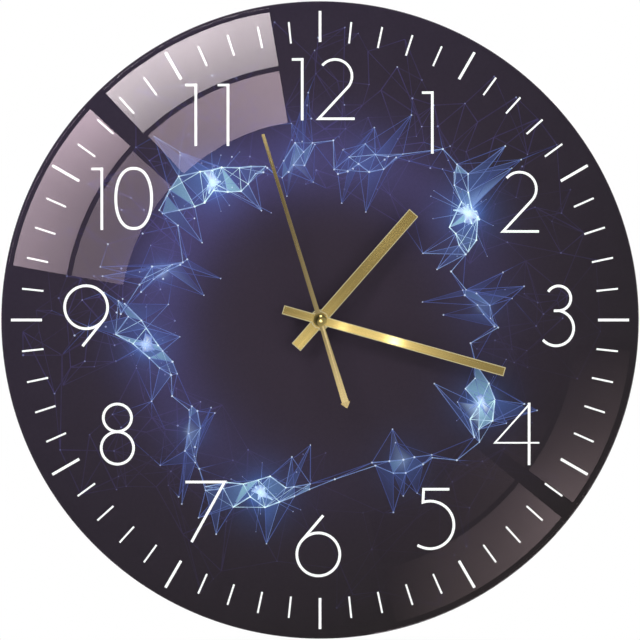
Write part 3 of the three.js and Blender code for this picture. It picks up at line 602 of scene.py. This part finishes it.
# Flat marks of ink, each a thin closed prism
class Marks:
    """Collects marks for one mesh, with a colour for each point."""

    def __init__(self):
        self.points, self.faces, self.colours, self.made = [], [], [], 0

    def own_level(self, front):
        self.made += 1
        return front + self.made % LEVEL_COUNT * LEVEL_STEP

    def prism(self, outline, colours, front):
        """A convex outline of (x, z) in order round it, made into a prism."""
        front = self.own_level(front)
        first, count = len(self.points), len(outline)
        for y in (front, front + INK_THICKNESS):
            self.points += [(x, y, z) for x, z in outline]
            self.colours += colours
        self.faces.append(tuple(range(first, first + count)))
        self.faces.append(tuple(range(first + 2 * count - 1, first + count - 1, -1)))
        for i in range(count):
            j = (i + 1) % count
            self.faces.append((first + j, first + i, first + count + i, first + count + j))

    def strip(self, left, right, colours, front):
        """A band between two lines of points, made into a closed prism; colours has one for each pair."""
        front = self.own_level(front)
        first, count = len(self.points), len(left)
        for y in (front, front + INK_THICKNESS):
            for (lx, lz), (rx, rz), colour in zip(left, right, colours):
                self.points += [(lx, y, lz), (rx, y, rz)]
                self.colours += [colour, colour]
        back = first + 2 * count
        for i in range(count - 1):
            a, b = first + 2 * i, back + 2 * i
            self.faces += [(a, a + 1, a + 3, a + 2), (b + 1, b, b + 2, b + 3)]
            self.faces += [(b, a, a + 2, b + 2), (a + 1, b + 1, b + 3, a + 3)]
        end, far = first + 2 * (count - 1), back + 2 * (count - 1)
        self.faces += [(first + 1, first, back, back + 1), (end, end + 1, far + 1, far)]

    def piece(self, name, material):
        made = add_mesh(name, self.points, self.faces, material)
        face_out(made)
        give_colours(made, "ink", self.colours)


# Network of strands, facets and sparks
FAINT_LINE = (0.09, 0.17, 0.80)
BRIGHT_LINE = (0.74, 1.0, 1.0)
FAINT_FACET = (0.045, 0.090, 0.42)
BRIGHT_FACET = (0.50, 0.92, 0.88)
FAR_LINE = (0.15, 0.12, 0.46)
FAR_SPARK = (0.30, 0.32, 0.80)
SPARK = (0.85, 0.97, 1.0)


def faded(x, z, faint, bright, share):
    """Ink laid thinly over the ground: with more of it, the colour goes from faint to bright."""
    share = min(1.0, share)
    return mixed(ground_colour(x, z), mixed(faint, bright, share**1.7), share)


def add_line(marks, one, two, width, shares, colours, front):
    """A thin line, whose ink changes from its start over its middle to its end."""
    length = distance(one, two)
    if length < width:
        return
    across = (-(two[1] - one[1]) / length * width / 2, (two[0] - one[0]) / length * width / 2)
    left, right, inks = [], [], []
    for along in (0, 0.25, 0.5, 0.75, 1):
        x, z = mixed(one, two, along)
        left.append((x + across[0], z + across[1]))
        right.append((x - across[0], z - across[1]))
        inks.append(faded(x, z, *colours, over_three(shares, along)))
    marks.strip(left, right, inks, front)


def near_line(marks, one, two, light, width=0.34 * MM, front=NET_FRONT):
    add_line(marks, one, two, width, (light, 0.75 * light, light), (FAINT_LINE, BRIGHT_LINE), front)


def add_facet(marks, corners, shares, front=FILL_FRONT, colours=(FAINT_FACET, BRIGHT_FACET)):
    inks = [faded(x, z, *colours, share) for (x, z), share in zip(corners, shares)]
    marks.prism(corners, inks, front)


def add_spark(marks, here, size, share):
    x, z = here
    outline = [(x + dx, z + dz) for dx, dz in circle(8, size)]
    marks.prism(outline, [faded(x, z, FAR_SPARK, SPARK, share)] * 8, SPARK_FRONT)


def strand_rows(dice, direction, radius, span, width, tilt):
    """Two jagged rows of corners beside a line that crosses the ring at a slant."""
    steps = max(4, round(span / 4.2))
    outer, inner = [], []
    for i in range(steps + 1):
        along = i / steps
        middle = radius + tilt * (along - 0.5) + dice.uniform(-2.0, 2.0)
        half = width / 2 * sin(pi * (0.1 + 0.8 * along)) ** 1.3
        turn = direction + span * (along - 0.5)
        for row, side in ((outer, half), (inner, -half)):
            aside = dice.uniform(-1.2, 1.2)
            row.append(on_dial(turn + aside, (middle + side * dice.uniform(0.3, 1.3)) * MM))
    return outer, inner


def add_strand(marks, dice, rows, core, heart):
    """A strip of facets between two rows, with its lines, sparks and a few far points tied to it."""
    outer, inner = rows

    def light(here):
        return min(1.0, 0.38 + 0.26 * core + core * 0.75 * bell(distance(here, heart), 13 * MM))

    for i in range(len(outer) - 1):
        for corners in ((outer[i], inner[i], outer[i + 1]), (inner[i], outer[i + 1], inner[i + 1])):
            thin = dice.choice((0.15, 0.3, 0.4, 0.7))
            add_facet(marks, corners, [thin * light(p) for p in corners])
            near_line(marks, corners[0], corners[2], 0.95 * light(corners[0]), dice.uniform(0.25, 0.5) * MM)
        near_line(marks, inner[i], outer[i + 1], 0.7 * light(inner[i]), 0.28 * MM)
    for row in rows:
        for one, two in zip(row, row[1:]):
            near_line(marks, one, two, light(one), dice.uniform(0.3, 0.62) * MM)
        for one, two in zip(row, row[2:]):
            near_line(marks, one, two, 0.4 * light(one), 0.25 * MM, FAR_NET_FRONT)
        for one in row:
            add_spark(marks, one, dice.uniform(0.24, 0.5) * MM, 0.5 + 0.5 * light(one))
    for one, two in zip(outer, inner):
        near_line(marks, one, two, 0.6 * light(one), 0.28 * MM)
    for _ in range(round((2 + 5 * core) * len(outer))):
        one, two = dice.choice(outer), dice.choice(outer + inner)
        if distance(one, two) < 17 * MM:
            share = min(1.0, 0.1 + light(mixed(one, two, 0.5)))
            near_line(marks, one, two, share, dice.uniform(0.14, 0.26) * MM)


def add_spur(marks, dice, row, outward, light):
    """A wide faint facet from a strand to a point further out or in."""
    i = dice.randrange(len(row) - 1)
    one, two = row[i], row[i + 1]
    out = 1 + outward * dice.uniform(9, 24) * MM / hypot(*one)
    lean = radians(dice.uniform(-7, 7))
    tip = (
        out * (one[0] * cos(lean) + one[1] * sin(lean)),
        out * (one[1] * cos(lean) - one[0] * sin(lean)),
    )
    add_facet(marks, (one, two, tip), (0.35 * light, 0.3 * light, 0.12 * light), FILL_FRONT + FILL_STEP)
    for start in row[max(0, i - 1):i + 3]:
        near_line(marks, start, tip, light * dice.uniform(0.3, 0.75), dice.uniform(0.22, 0.36) * MM)
    add_spark(marks, tip, dice.uniform(0.25, 0.42) * MM, 0.5 + 0.4 * light)
    return tip


def add_core(marks, dice, heart, core):
    """Small bright facets and rays where a knot shines most."""
    rays = [on_dial(40 * i, dice.uniform(1.0, 7.0) * MM) for i in range(9)]
    tips = [(heart[0] + x, heart[1] + z) for x, z in rays]
    for one, two in zip(tips, tips[1:] + tips[:1]):
        shares = (1.0, 0.6 * core, 0.4 * core)
        add_facet(marks, (heart, one, two), shares, FILL_FRONT - FILL_STEP, (FAINT_LINE, SPARK))
        near_line(marks, heart, one, core, dice.uniform(0.3, 0.8) * MM)
        near_line(marks, one, two, 0.8 * core, 0.25 * MM)
    for _ in range(14):
        far = tuple(h + dice.gauss(0, 10 * MM) for h in heart)
        shares = (core, 0.5 * core, 0.3 * core)
        width = dice.uniform(0.14, 0.3) * MM
        add_line(marks, heart, far, width, shares, (FAINT_LINE, BRIGHT_LINE), NET_FRONT)
        add_spark(marks, far, dice.uniform(0.15, 0.3) * MM, 0.6 * core)


def near_network(marks, dice):
    ends, loose = [], []
    for direction, radius, span, width, tilt, core in STRANDS:
        rows = strand_rows(dice, direction, radius, span, width, tilt)
        heart = on_dial(direction, radius * MM)
        add_strand(marks, dice, rows, core, heart)
        if core > 0.3:
            add_core(marks, dice, heart, core)
        for outward in (1, 1, -1, 1, -1):
            loose.append(add_spur(marks, dice, rows[0 if outward > 0 else 1], outward, 0.4 + 0.4 * core))
        ends.append((rows[0][0], rows[0][-1], rows[1][0], rows[1][-1]))
    for (_, last, _, low_last), (first, _, low_first, _) in zip(ends, ends[1:] + ends[:1]):
        bend = tuple(c + dice.gauss(0, 4 * MM) for c in mixed(last, first, dice.uniform(0.35, 0.65)))
        links = ((last, bend, 0.6), (bend, first, 0.6), (low_last, bend, 0.3), (bend, low_first, 0.3))
        for one, two, light in links:
            near_line(marks, one, two, light)
        near_line(marks, low_last, low_first, 0.22)
        add_spark(marks, bend, 0.45 * MM, 0.8)
        loose.append(bend)
    return loose


def far_network(marks, dice, loose):
    """Faint wide lines and dust round the ring, denser towards the upper left."""
    points = []
    while len(points) < 300:
        direction, radius = dice.uniform(0, 360), dice.triangular(58, 149, 100) * MM
        here = on_dial(direction, radius)
        side = side_share(direction)
        if dice.random() < 0.3 + 0.7 * side and all(distance(here, other) > 4.5 * MM for other in points):
            points.append(here)
    for i, one in enumerate(points):
        side = side_share(degrees(atan2(one[0], one[1])))
        light = (0.03 + 0.17 * side) * dice.uniform(0.4, 1.3)
        close = sorted(points[:i] + points[i + 1:], key=lambda other: distance(one, other))
        for two in close[1:dice.randint(2, 4)] + [dice.choice(close[4:16])]:
            shares = (light, 0.5 * light, 0.8 * light)
            width = dice.uniform(0.2, 0.55) * MM
            add_line(marks, one, two, width, shares, (FAR_LINE, FAINT_LINE), FAR_NET_FRONT)
        if dice.random() < 0.7:
            add_spark(marks, one, dice.uniform(0.2, 0.5) * MM, min(1.0, light * dice.uniform(1.5, 4.0)))
        tie = min(loose, key=lambda other: distance(one, other))
        if distance(one, tie) < 20 * MM and dice.random() < 0.4:
            shares = (light, light, 0.35)
            add_line(marks, one, tie, 0.28 * MM, shares, (FAINT_LINE, BRIGHT_LINE), FAR_NET_FRONT)


NETWORK_SEED = 41


def network():
    dice = random.Random(NETWORK_SEED)
    marks = Marks()
    loose = near_network(marks, dice)
    far_network(marks, dice, loose)
    marks.piece("dial_network", INK)


network()


# Numerals: lines of the pen, in pixels of the photograph from the digit's upper left corner
THICK, THIN, ROUND = 2.65, 2.5, 2.65


def arc(x, y, across, down, start, end, steps=28):
    """Points on an ellipse; the angle runs from +x towards +y, which is down."""
    turns = [radians(start + (end - start) * i / steps) for i in range(steps + 1)]
    return [(x + across * cos(t), y + down * sin(t)) for t in turns]


def ring_with_stem(x, y, radius, tip):
    """The strokes of a 6 or a 9: a circle, and a straight stem that touches it."""
    dx, dy = tip[0] - x, tip[1] - y
    touch = atan2(dy, dx) - acos(radius / hypot(dx, dy))
    foot = (x + radius * cos(touch), y + radius * sin(touch))
    return [(arc(x, y, radius, radius, 0, 360, 64), ROUND), ([tip, foot], ROUND)]


def nought():
    points = []
    for c, s in [*circle(96, 1), (1, 0)]:
        x, y = copysign(abs(c) ** 0.86, c), copysign(abs(s) ** 0.94, s)
        points.append((19.5 + 17.9 * x, 31.2 + 30.1 * y))
    return points


# For each digit: strokes of (points, width of the pen)
DIGITS = {
    "0": [(nought(), 2.85)],
    "1": [([(0, 1.4), (10.4, 1.4)], THIN), ([(10.4, 0), (10.4, 62.4)], THICK)],
    "2": [([*arc(20.1, 18.4, 16.8, 16.8, 220, 405), (3.6, 60.95), (39.6, 60.95)], THIN)],
    "3": [
        ([*arc(17.4, 14.2, 12.2, 12.4, 212, 450, 36), (12.6, 26.6)], ROUND),
        (arc(14.9, 44.0, 17.6, 17.7, 278, 498, 40), ROUND),
    ],
    "4": [([(46.0, 40.3), (1.6, 40.3), (35.4, 2.4)], 1.6), ([(35.8, 0.2), (35.8, 62.6)], THICK)],
    "5": [([(32.6, 2.2), (6.8, 2.2), *arc(13.3, 37.9, 23.8, 23.8, 252.6, 482, 48)], ROUND)],
    "6": ring_with_stem(23.4, 40.6, 21.5, (28.3, 1.6)),
    "7": [([(0, 2.15), (39.2, 2.15), (6.2, 62.2)], THICK)],
    "8": [(arc(17.8, 15.8, 14.1, 13.8, 0, 360, 64), ROUND), (arc(17.8, 46.0, 16.2, 16.2, 0, 360, 64), ROUND)],
    "9": ring_with_stem(23.2, 23.6, 21.5, (19.6, 62.6)),
}

# Each digit on the dial and its upper left corner in the photograph
NUMERALS = (
    ("1", 291.8, 58.0), ("2", 315.1, 57.8), ("1", 422.0, 91.2), ("2", 499.6, 170.6), ("3", 541.4, 284.3),
    ("4", 493.5, 402.8), ("5", 416.9, 487.4), ("6", 294.9, 514.2), ("7", 185.3, 480.2), ("8", 99.4, 402.3),
    ("9", 62.7, 283.8), ("1", 91.2, 167.6), ("0", 114.0, 167.3), ("1", 185.3, 83.6), ("1", 217.5, 83.6),
)


def from_photo(x, y):
    return (x - PHOTO_MIDDLE[0]) * PIXEL, (PHOTO_MIDDLE[1] - y) * PIXEL


def pen(marks, points, width, corner):
    """A line of the pen with mitred corners; closed where it ends at its start."""
    closed = distance(points[0], points[-1]) < 1e-6
    ways = []
    for one, two in zip(points, points[1:]):
        length = distance(one, two)
        ways.append(((two[0] - one[0]) / length, (two[1] - one[1]) / length))
    left, right = [], []
    for i, (x, y) in enumerate(points):
        before = ways[i - 1] if i or closed else ways[0]
        after = ways[i] if i < len(ways) else (ways[0] if closed else ways[-1])
        reach = width / 2 / (1 + before[0] * after[0] + before[1] * after[1])
        across = (-(before[1] + after[1]) * reach, (before[0] + after[0]) * reach)
        left.append(from_photo(corner[0] + x + across[0], corner[1] + y + across[1]))
        right.append(from_photo(corner[0] + x - across[0], corner[1] + y - across[1]))
    marks.strip(left, right, [WHITE] * len(points), NUMBER_FRONT)


def numerals():
    marks = Marks()
    for digit, x, y in NUMERALS:
        for points, width in DIGITS[digit]:
            pen(marks, points, width, (x, y))
    marks.piece("dial_numerals", NUMBER_INK)


# Minute marks: inner end of all, then outer end and width of a short and of a long one
TICK_INNER = 130.9 * MM
MINUTE_TICK = (141.0 * MM, 0.85 * MM)
HOUR_TICK = (145.5 * MM, 1.27 * MM)


def minute_marks():
    marks = Marks()
    for minute in range(60):
        outer, width = HOUR_TICK if minute % 5 == 0 else MINUTE_TICK
        side = on_dial(6 * minute + 90, width / 2)
        corners = []
        for radius, way in ((TICK_INNER, -1), (outer, -1), (outer, 1), (TICK_INNER, 1)):
            x, z = on_dial(6 * minute, radius)
            corners.append((x + way * side[0], z + way * side[1]))
        marks.prism(corners, [WHITE] * 4, NUMBER_FRONT)
    marks.piece("dial_minute_marks", NUMBER_INK)


numerals()
minute_marks()


# Round pieces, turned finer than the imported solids
CORNER_STEPS = 4


def rounded(inner, outer, front, back, edge):
    """A ring's profile with its outer corners rounded, and a flat margin beside each corner."""
    corner = [(outer - 1.5 * edge, front)]
    for i in range(CORNER_STEPS + 1):
        turn = pi / 2 * i / CORNER_STEPS
        corner.append((outer - edge + edge * sin(turn), front + edge - edge * cos(turn)))
    other = [(r, front + back - y) for r, y in reversed(corner)]
    return [(inner, front), *corner, *other, (inner, back)]


def turned_piece(name, node_name, inner, edge, segments=96):
    low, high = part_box(node_name)
    centre = (low + high) / 2
    outer = (high.x - low.x) / 2
    profile = rounded(inner, outer, low.y, high.y, edge)
    body, material = bodies[node_name], MATERIALS[slots[node_name]]
    piece = lathe(name, profile, material, body, segments, (centre.x, 0, centre.z))
    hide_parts(node_name)
    return piece


GLASS = turned_piece("glass_disc", "glass_panel", HOLE_RADIUS, 0.8 * MM, 360)
turned_piece("gasket_disc", "panel_gasket", 4.2 * MM, 0.2 * MM)
turned_piece("washer_disc", "front_washer", 4.05 * MM, 0.08 * MM)
turned_piece("hour_boss", "hour_collar", 2.55 * MM, 0.15 * MM)
turned_piece("minute_boss", "minute_collar", 1.65 * MM, 0.15 * MM)
turned_piece("second_boss", "second_pipe", 0.55 * MM, 0.12 * MM)


# The cap: radius of its shoulder, slope of the round top where the shoulder starts, and rims of its flat back
CAP_SHOULDER = 0.25 * MM
CAP_SLOPE = radians(30)
CAP_BACK_EDGE = 0.05 * MM
SHOULDER_STEPS = 6
TOP_STEPS = 16


def cap_dome():
    """A button with a shallow round top and a rounded shoulder over its straight wall."""
    low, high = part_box("second_cap")
    radius = high.x
    sphere = (radius - CAP_SHOULDER) / sin(CAP_SLOPE) + CAP_SHOULDER
    middle = low.y + sphere - (sphere - CAP_SHOULDER) * cos(CAP_SLOPE)
    profile = [(0, high.y), (radius - CAP_BACK_EDGE, high.y), (radius, high.y - CAP_BACK_EDGE)]
    for i in range(SHOULDER_STEPS + 1):
        turn = pi / 2 + (CAP_SLOPE - pi / 2) * i / SHOULDER_STEPS
        out, forward = CAP_SHOULDER * sin(turn), CAP_SHOULDER * cos(turn)
        profile.append((radius - CAP_SHOULDER + out, middle - forward))
    for i in range(1, TOP_STEPS + 1):
        turn = CAP_SLOPE * (1 - i / TOP_STEPS)
        profile.append((sphere * sin(turn), low.y + sphere * (1 - cos(turn))))
    piece = lathe("cap_dome", profile, MATERIALS["brushed_gold"], bodies["second_cap"], 72)
    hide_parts("second_cap")


cap_dome()


KNOB_FLUTES = 24
FLUTE_DEPTH = 0.35 * MM


def setting_wheel():
    """The knob on the back: a wheel with rounded flutes, dished round a low boss, on its shaft."""
    low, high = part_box("setting_knob")
    centre = (low + high) / 2
    outer, shaft, thick = (high.x - low.x) / 2, 1.2 * MM, 2.8 * MM
    edge, dish = 0.4 * MM, 0.45 * MM
    front = high.y - thick
    wheel = rounded(shaft, outer, front, high.y, edge)[:-1]
    face = [(outer - 1.3 * MM, high.y), (outer - 1.6 * MM, high.y - dish), (2.3 * MM, high.y - dish)]
    boss = [(2.1 * MM, high.y - 0.15 * MM), (1.9 * MM, high.y - 0.1 * MM), (0, high.y - 0.1 * MM)]
    profile = [(0, low.y), (shaft, low.y), *wheel, *face, *boss]
    body, material = bodies["setting_knob"], MATERIALS[slots["setting_knob"]]
    piece = lathe("setting_wheel", profile, material, body, 12 * KNOB_FLUTES, (centre.x, 0, centre.z))
    for vertex in piece.data.vertices:
        x, z = vertex.co.x - centre.x, vertex.co.z - centre.z
        away = hypot(x, z)
        if away > outer - 1.1 * edge:
            share = FLUTE_DEPTH / away * (0.5 - 0.5 * cos(KNOB_FLUTES * atan2(z, x)))
            vertex.co.x -= x * share
            vertex.co.z -= z * share
    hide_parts("setting_knob")


setting_wheel()


# Floor, world and lamps
FLOOR_HEIGHT = -0.42
FLOOR_RADIUS = 2.2
FLOOR_SEGMENTS = 96


def floor():
    """A pale disc that fades into the white background, and keeps the clock's shadow."""
    grey = (0.92, 0.92, 0.92, 1)
    material, tree, shader = new_material("floor", Roughness=0.9, Specular_IOR_Level=0.0, Base_Color=grey)
    where = node(tree, "TexCoord")["Object"]
    away = node(tree, "VectorMath", {0: where}, operation="LENGTH")["Value"]
    fade = between(tree, away, 0.25, 1.0, 0.4 * FLOOR_RADIUS, FLOOR_RADIUS)
    white = node(tree, "Emission", {"Color": (1, 1, 1, 1), "Strength": 1.0})[0]
    seen = node(tree, "LightPath")["Is Camera Ray"]
    share = calculate(tree, "MULTIPLY", fade, seen)
    show(tree, node(tree, "MixShader", {0: share, 1: shader.outputs[0], 2: white})[0])
    points = [(0, 0, 0), *((x, y, 0) for x, y in circle(FLOOR_SEGMENTS, FLOOR_RADIUS))]
    faces = [(0, 1 + i, 1 + (i + 1) % FLOOR_SEGMENTS) for i in range(FLOOR_SEGMENTS)]
    piece = add_mesh("floor", points, faces, material, body=None)
    piece.location.z = FLOOR_HEIGHT
    piece.visible_glossy = piece.visible_transmission = False


WORLD_LIGHT = 0.62
FRONT_DIMNESS = 0.02


def world():
    """White behind the clock; the room in front of it is dim in mirrors."""
    made = bpy.data.worlds.new("studio")
    bpy.context.scene.world = made
    made.use_nodes = True
    tree = made.node_tree
    way = node(tree, "TexCoord")["Generated"]
    forward = node(tree, "SeparateXYZ", {0: way})["Y"]
    mirrored = between(tree, forward, FRONT_DIMNESS, 1.0, -0.985, 0.6, interpolation_type="SMOOTHSTEP")
    rays = node(tree, "LightPath")
    in_mirror = calculate(tree, "MAXIMUM", rays["Is Glossy Ray"], rays["Is Transmission Ray"])
    lights = {0: in_mirror, 2: WORLD_LIGHT, 3: mirrored}
    light = node(tree, "Mix", lights, data_type="FLOAT")[0]
    strengths = {0: rays["Is Camera Ray"], 2: light, 3: 1.0}
    strength = node(tree, "Mix", strengths, data_type="FLOAT")[0]
    tree.links.new(strength, tree.nodes["Background"].inputs["Strength"])
    tree.nodes["Background"].inputs["Color"].default_value = (1, 1, 1, 1)


def receivers(name, pieces, leave_out=False):
    """A collection for light linking: only these pieces, or all but these."""
    group = bpy.data.collections.new(name)
    for piece in pieces:
        group.objects.link(piece)
    if leave_out:
        for member in group.collection_objects:
            member.light_linking.link_state = "EXCLUDE"
    return group


def lamp(name, spot, size, power, linked):
    """A round lamp that points at the middle of the dial and lights the linked pieces only."""
    data = arrange(bpy.data.lights.new(name, "AREA"), shape="DISK", size=size, energy=power)
    made = new_object(name, data)
    made.location = spot
    made.rotation_euler = (-Vector(spot)).to_track_quat("-Z", "Y").to_euler()
    made.visible_camera = False
    made.light_linking.receiver_collection = linked
    return made


CAP = bpy.data.objects["cap_dome"]
HANDS = [nodes[name] for name in HAND_ANGLES]
NOT_MIRRORING = receivers("not_mirroring", [GLASS, *HANDS, CAP], leave_out=True)
ONLY_HANDS = receivers("only_hands", HANDS)
ONLY_MINUTE_HAND = receivers("only_minute_hand", [nodes["minute_hand"]])
ONLY_CAP = receivers("only_cap", [CAP])
ONLY_GLASS = receivers("only_glass", [GLASS])

lamp("key", (-0.75, -1.3, 0.9), 1.1, 14.0, NOT_MIRRORING)
lamp("fill", (0.9, -1.2, 0.2), 1.1, 8.0, NOT_MIRRORING)
lamp("back", (0.5, 1.2, 0.7), 0.7, 8.0, NOT_MIRRORING)
lamp("cap_front", (0.40, -1.15, -0.40), 2.3, 3.5, ONLY_CAP)
lamp("cap_above", (0.13, -0.95, 0.65), 0.34, 1.15, ONLY_CAP)
lamp("cap_below", (0.13, -0.95, -0.13), 0.36, 1.3, ONLY_CAP)

# A softly glowing card close in front of the hands, which only they mirror
CARD_DISTANCE = 0.15
CARD_RADIUS = 0.26
CARD_HOLE = 0.1 * MM
CARD_RINGS = 40
CARD_SEGMENTS = 96
CARD_LIGHT = 0.25
# Place, light and width of its bright spots
CARD_SPOTS = (
    ((13.5 * MM, -49.3 * MM), 2.3, 33 * MM),
    ((-27 * MM, 92 * MM), 4.2, 12 * MM),
    ((-32 * MM, 50 * MM), -0.25, 38 * MM),
    ((22 * MM, 20 * MM), 0.12, 26 * MM),
)
CARD_GROWTH = 1 + CARD_DISTANCE / CAMERA_DISTANCE
BAND_DISTANCE = 0.07


def glow_material(name, strength, see_through=False):
    """Light in the colours of the mesh."""
    material = bpy.data.materials.new(name)
    material.use_nodes = True
    tree = material.node_tree
    tree.nodes.remove(tree.nodes["Principled BSDF"])
    colour = node(tree, "VertexColor", layer_name="glow")["Color"]
    surface = node(tree, "Emission", {"Color": colour, "Strength": strength})[0]
    if see_through:
        clear = node(tree, "BsdfTransparent")
        surface = node(tree, "AddShader", {0: surface, 1: clear[0]})[0]
    show(tree, surface)
    material.cycles.emission_sampling = "NONE"
    return material


def only_mirrored(name, points, faces, colours, material, by):
    """A glowing piece of the studio, seen nowhere but in what mirrors it."""
    piece = add_mesh(name, points, faces, material, body=None)
    give_colours(piece, "glow", colours)
    piece.visible_camera = piece.visible_diffuse = False
    piece.visible_shadow = piece.visible_volume_scatter = False
    piece.light_linking.receiver_collection = by


def card_light(x, z):
    """Light of the card at a place, from the spots as the camera sees them in the hands."""
    seen = (x / CARD_GROWTH, z / CARD_GROWTH)
    return CARD_LIGHT + sum(peak * bell(distance(seen, spot), width) for spot, peak, width in CARD_SPOTS)


def gold_card():
    points, colours, faces = [], [], []
    for ring in range(CARD_RINGS + 1):
        for x, z in circle(CARD_SEGMENTS, max(CARD_HOLE, CARD_RADIUS * ring / CARD_RINGS)):
            points.append((x, GLASS_FRONT - CARD_DISTANCE, z))
            colours.append((card_light(x, z),) * 3)
    for one in range(0, CARD_RINGS * CARD_SEGMENTS, CARD_SEGMENTS):
        faces += faces_between(one, one + CARD_SEGMENTS, CARD_SEGMENTS)
    material = glow_material("card_glow", 1.0, see_through=True)
    only_mirrored("gold_card", points, faces, colours, material, ONLY_HANDS)


def band_lamp(name, along, across, length, width, power):
    """A thin lamp square to the minute hand, which gives a bright band at one place along it."""
    turn = radians(HAND_ANGLES["minute_hand"])
    x = along * sin(turn) + across * cos(turn)
    z = along * cos(turn) - across * sin(turn)
    spot = (x, GLASS_FRONT - BAND_DISTANCE, z)
    made = lamp(name, spot, length, power, ONLY_MINUTE_HAND)
    arrange(made.data, shape="RECTANGLE", size=length, size_y=width)
    made.rotation_euler = (radians(90), turn, 0)


gold_card()
band_lamp("band_outer", 37.2 * MM, 29 * MM, 16 * MM, 3.5 * MM, 0.0125)
band_lamp("band_inner", 11.4 * MM, 30 * MM, 14 * MM, 3 * MM, 0.003)

# Windows of the room in front of the clock, which only its glass mirrors
WINDOW_DISTANCE = 0.7
WINDOW_RINGS = 8
WINDOW_STEPS = 24
OUTER_BAND = (257.5, 312.0)
INNER_BAND = (200.0, 252.3)
WARM_GREY = (1.0, 0.87, 0.92)
MAUVE_GREY = (1.0, 0.77, 0.88)
DIM_GREY = (1.0, 0.75, 0.79)

# Sides in degrees, band, colour, and light at the left, middle and right of the inner and the outer edge
WINDOWS = (
    (-43.4, -9.3, OUTER_BAND, WARM_GREY, (0.50, 0.60, 0.64), (1.24, 1.34, 1.10)),
    (-43.0, -9.3, INNER_BAND, MAUVE_GREY, (0.27, 0.36, 0.50), (0.40, 0.48, 0.60)),
    (-79.9, -47.5, OUTER_BAND, MAUVE_GREY, (0.32, 0.36, 0.46), (0.52, 0.68, 1.04)),
    (-79.9, -48.0, INNER_BAND, MAUVE_GREY, (0.16, 0.17, 0.19), (0.20, 0.22, 0.28)),
    (95.7, 125.8, OUTER_BAND, DIM_GREY, (0.0, 0.022, 0.060), (0.012, 0.066, 0.180)),
    (129.3, 165.9, OUTER_BAND, DIM_GREY, (0.072, 0.045, 0.0), (0.20, 0.095, 0.012)),
    (95.7, 125.8, INNER_BAND, DIM_GREY, (0.0, 0.0, 0.004), (0.0, 0.004, 0.016)),
    (129.3, 165.9, INNER_BAND, DIM_GREY, (0.012, 0.004, 0.0), (0.030, 0.012, 0.0)),
)
WINDOW_LIGHT = 6.5


def add_window(name, material, start, end, band, colour, inner, outer):
    """A pane shaped as a stretch of a ring, so far out that the glass shows it within the band's pixels."""
    grow = (1 + WINDOW_DISTANCE / CAMERA_DISTANCE) * PIXEL
    points, colours, faces = [], [], []
    for j in range(WINDOW_RINGS + 1):
        for i in range(WINDOW_STEPS + 1):
            share, out = i / WINDOW_STEPS, j / WINDOW_RINGS
            radius = (band[0] + (band[1] - band[0]) * out) * grow
            x, z = on_dial(start + (end - start) * share, radius)
            points.append((x, GLASS_FRONT - WINDOW_DISTANCE, z))
            low, high = over_three(inner, share), over_three(outer, share)
            colours.append(tuple((low + (high - low) * out) * c for c in colour))
    row = WINDOW_STEPS + 1
    for j in range(WINDOW_RINGS):
        for a in range(j * row, j * row + WINDOW_STEPS):
            faces.append((a, a + 1, a + row + 1, a + row))
    only_mirrored(name, points, faces, colours, material, ONLY_GLASS)


def windows():
    material = glow_material("window_glow", WINDOW_LIGHT)
    for index, window in enumerate(WINDOWS):
        add_window(f"window_{index}", material, *window)


floor()
world()
windows()
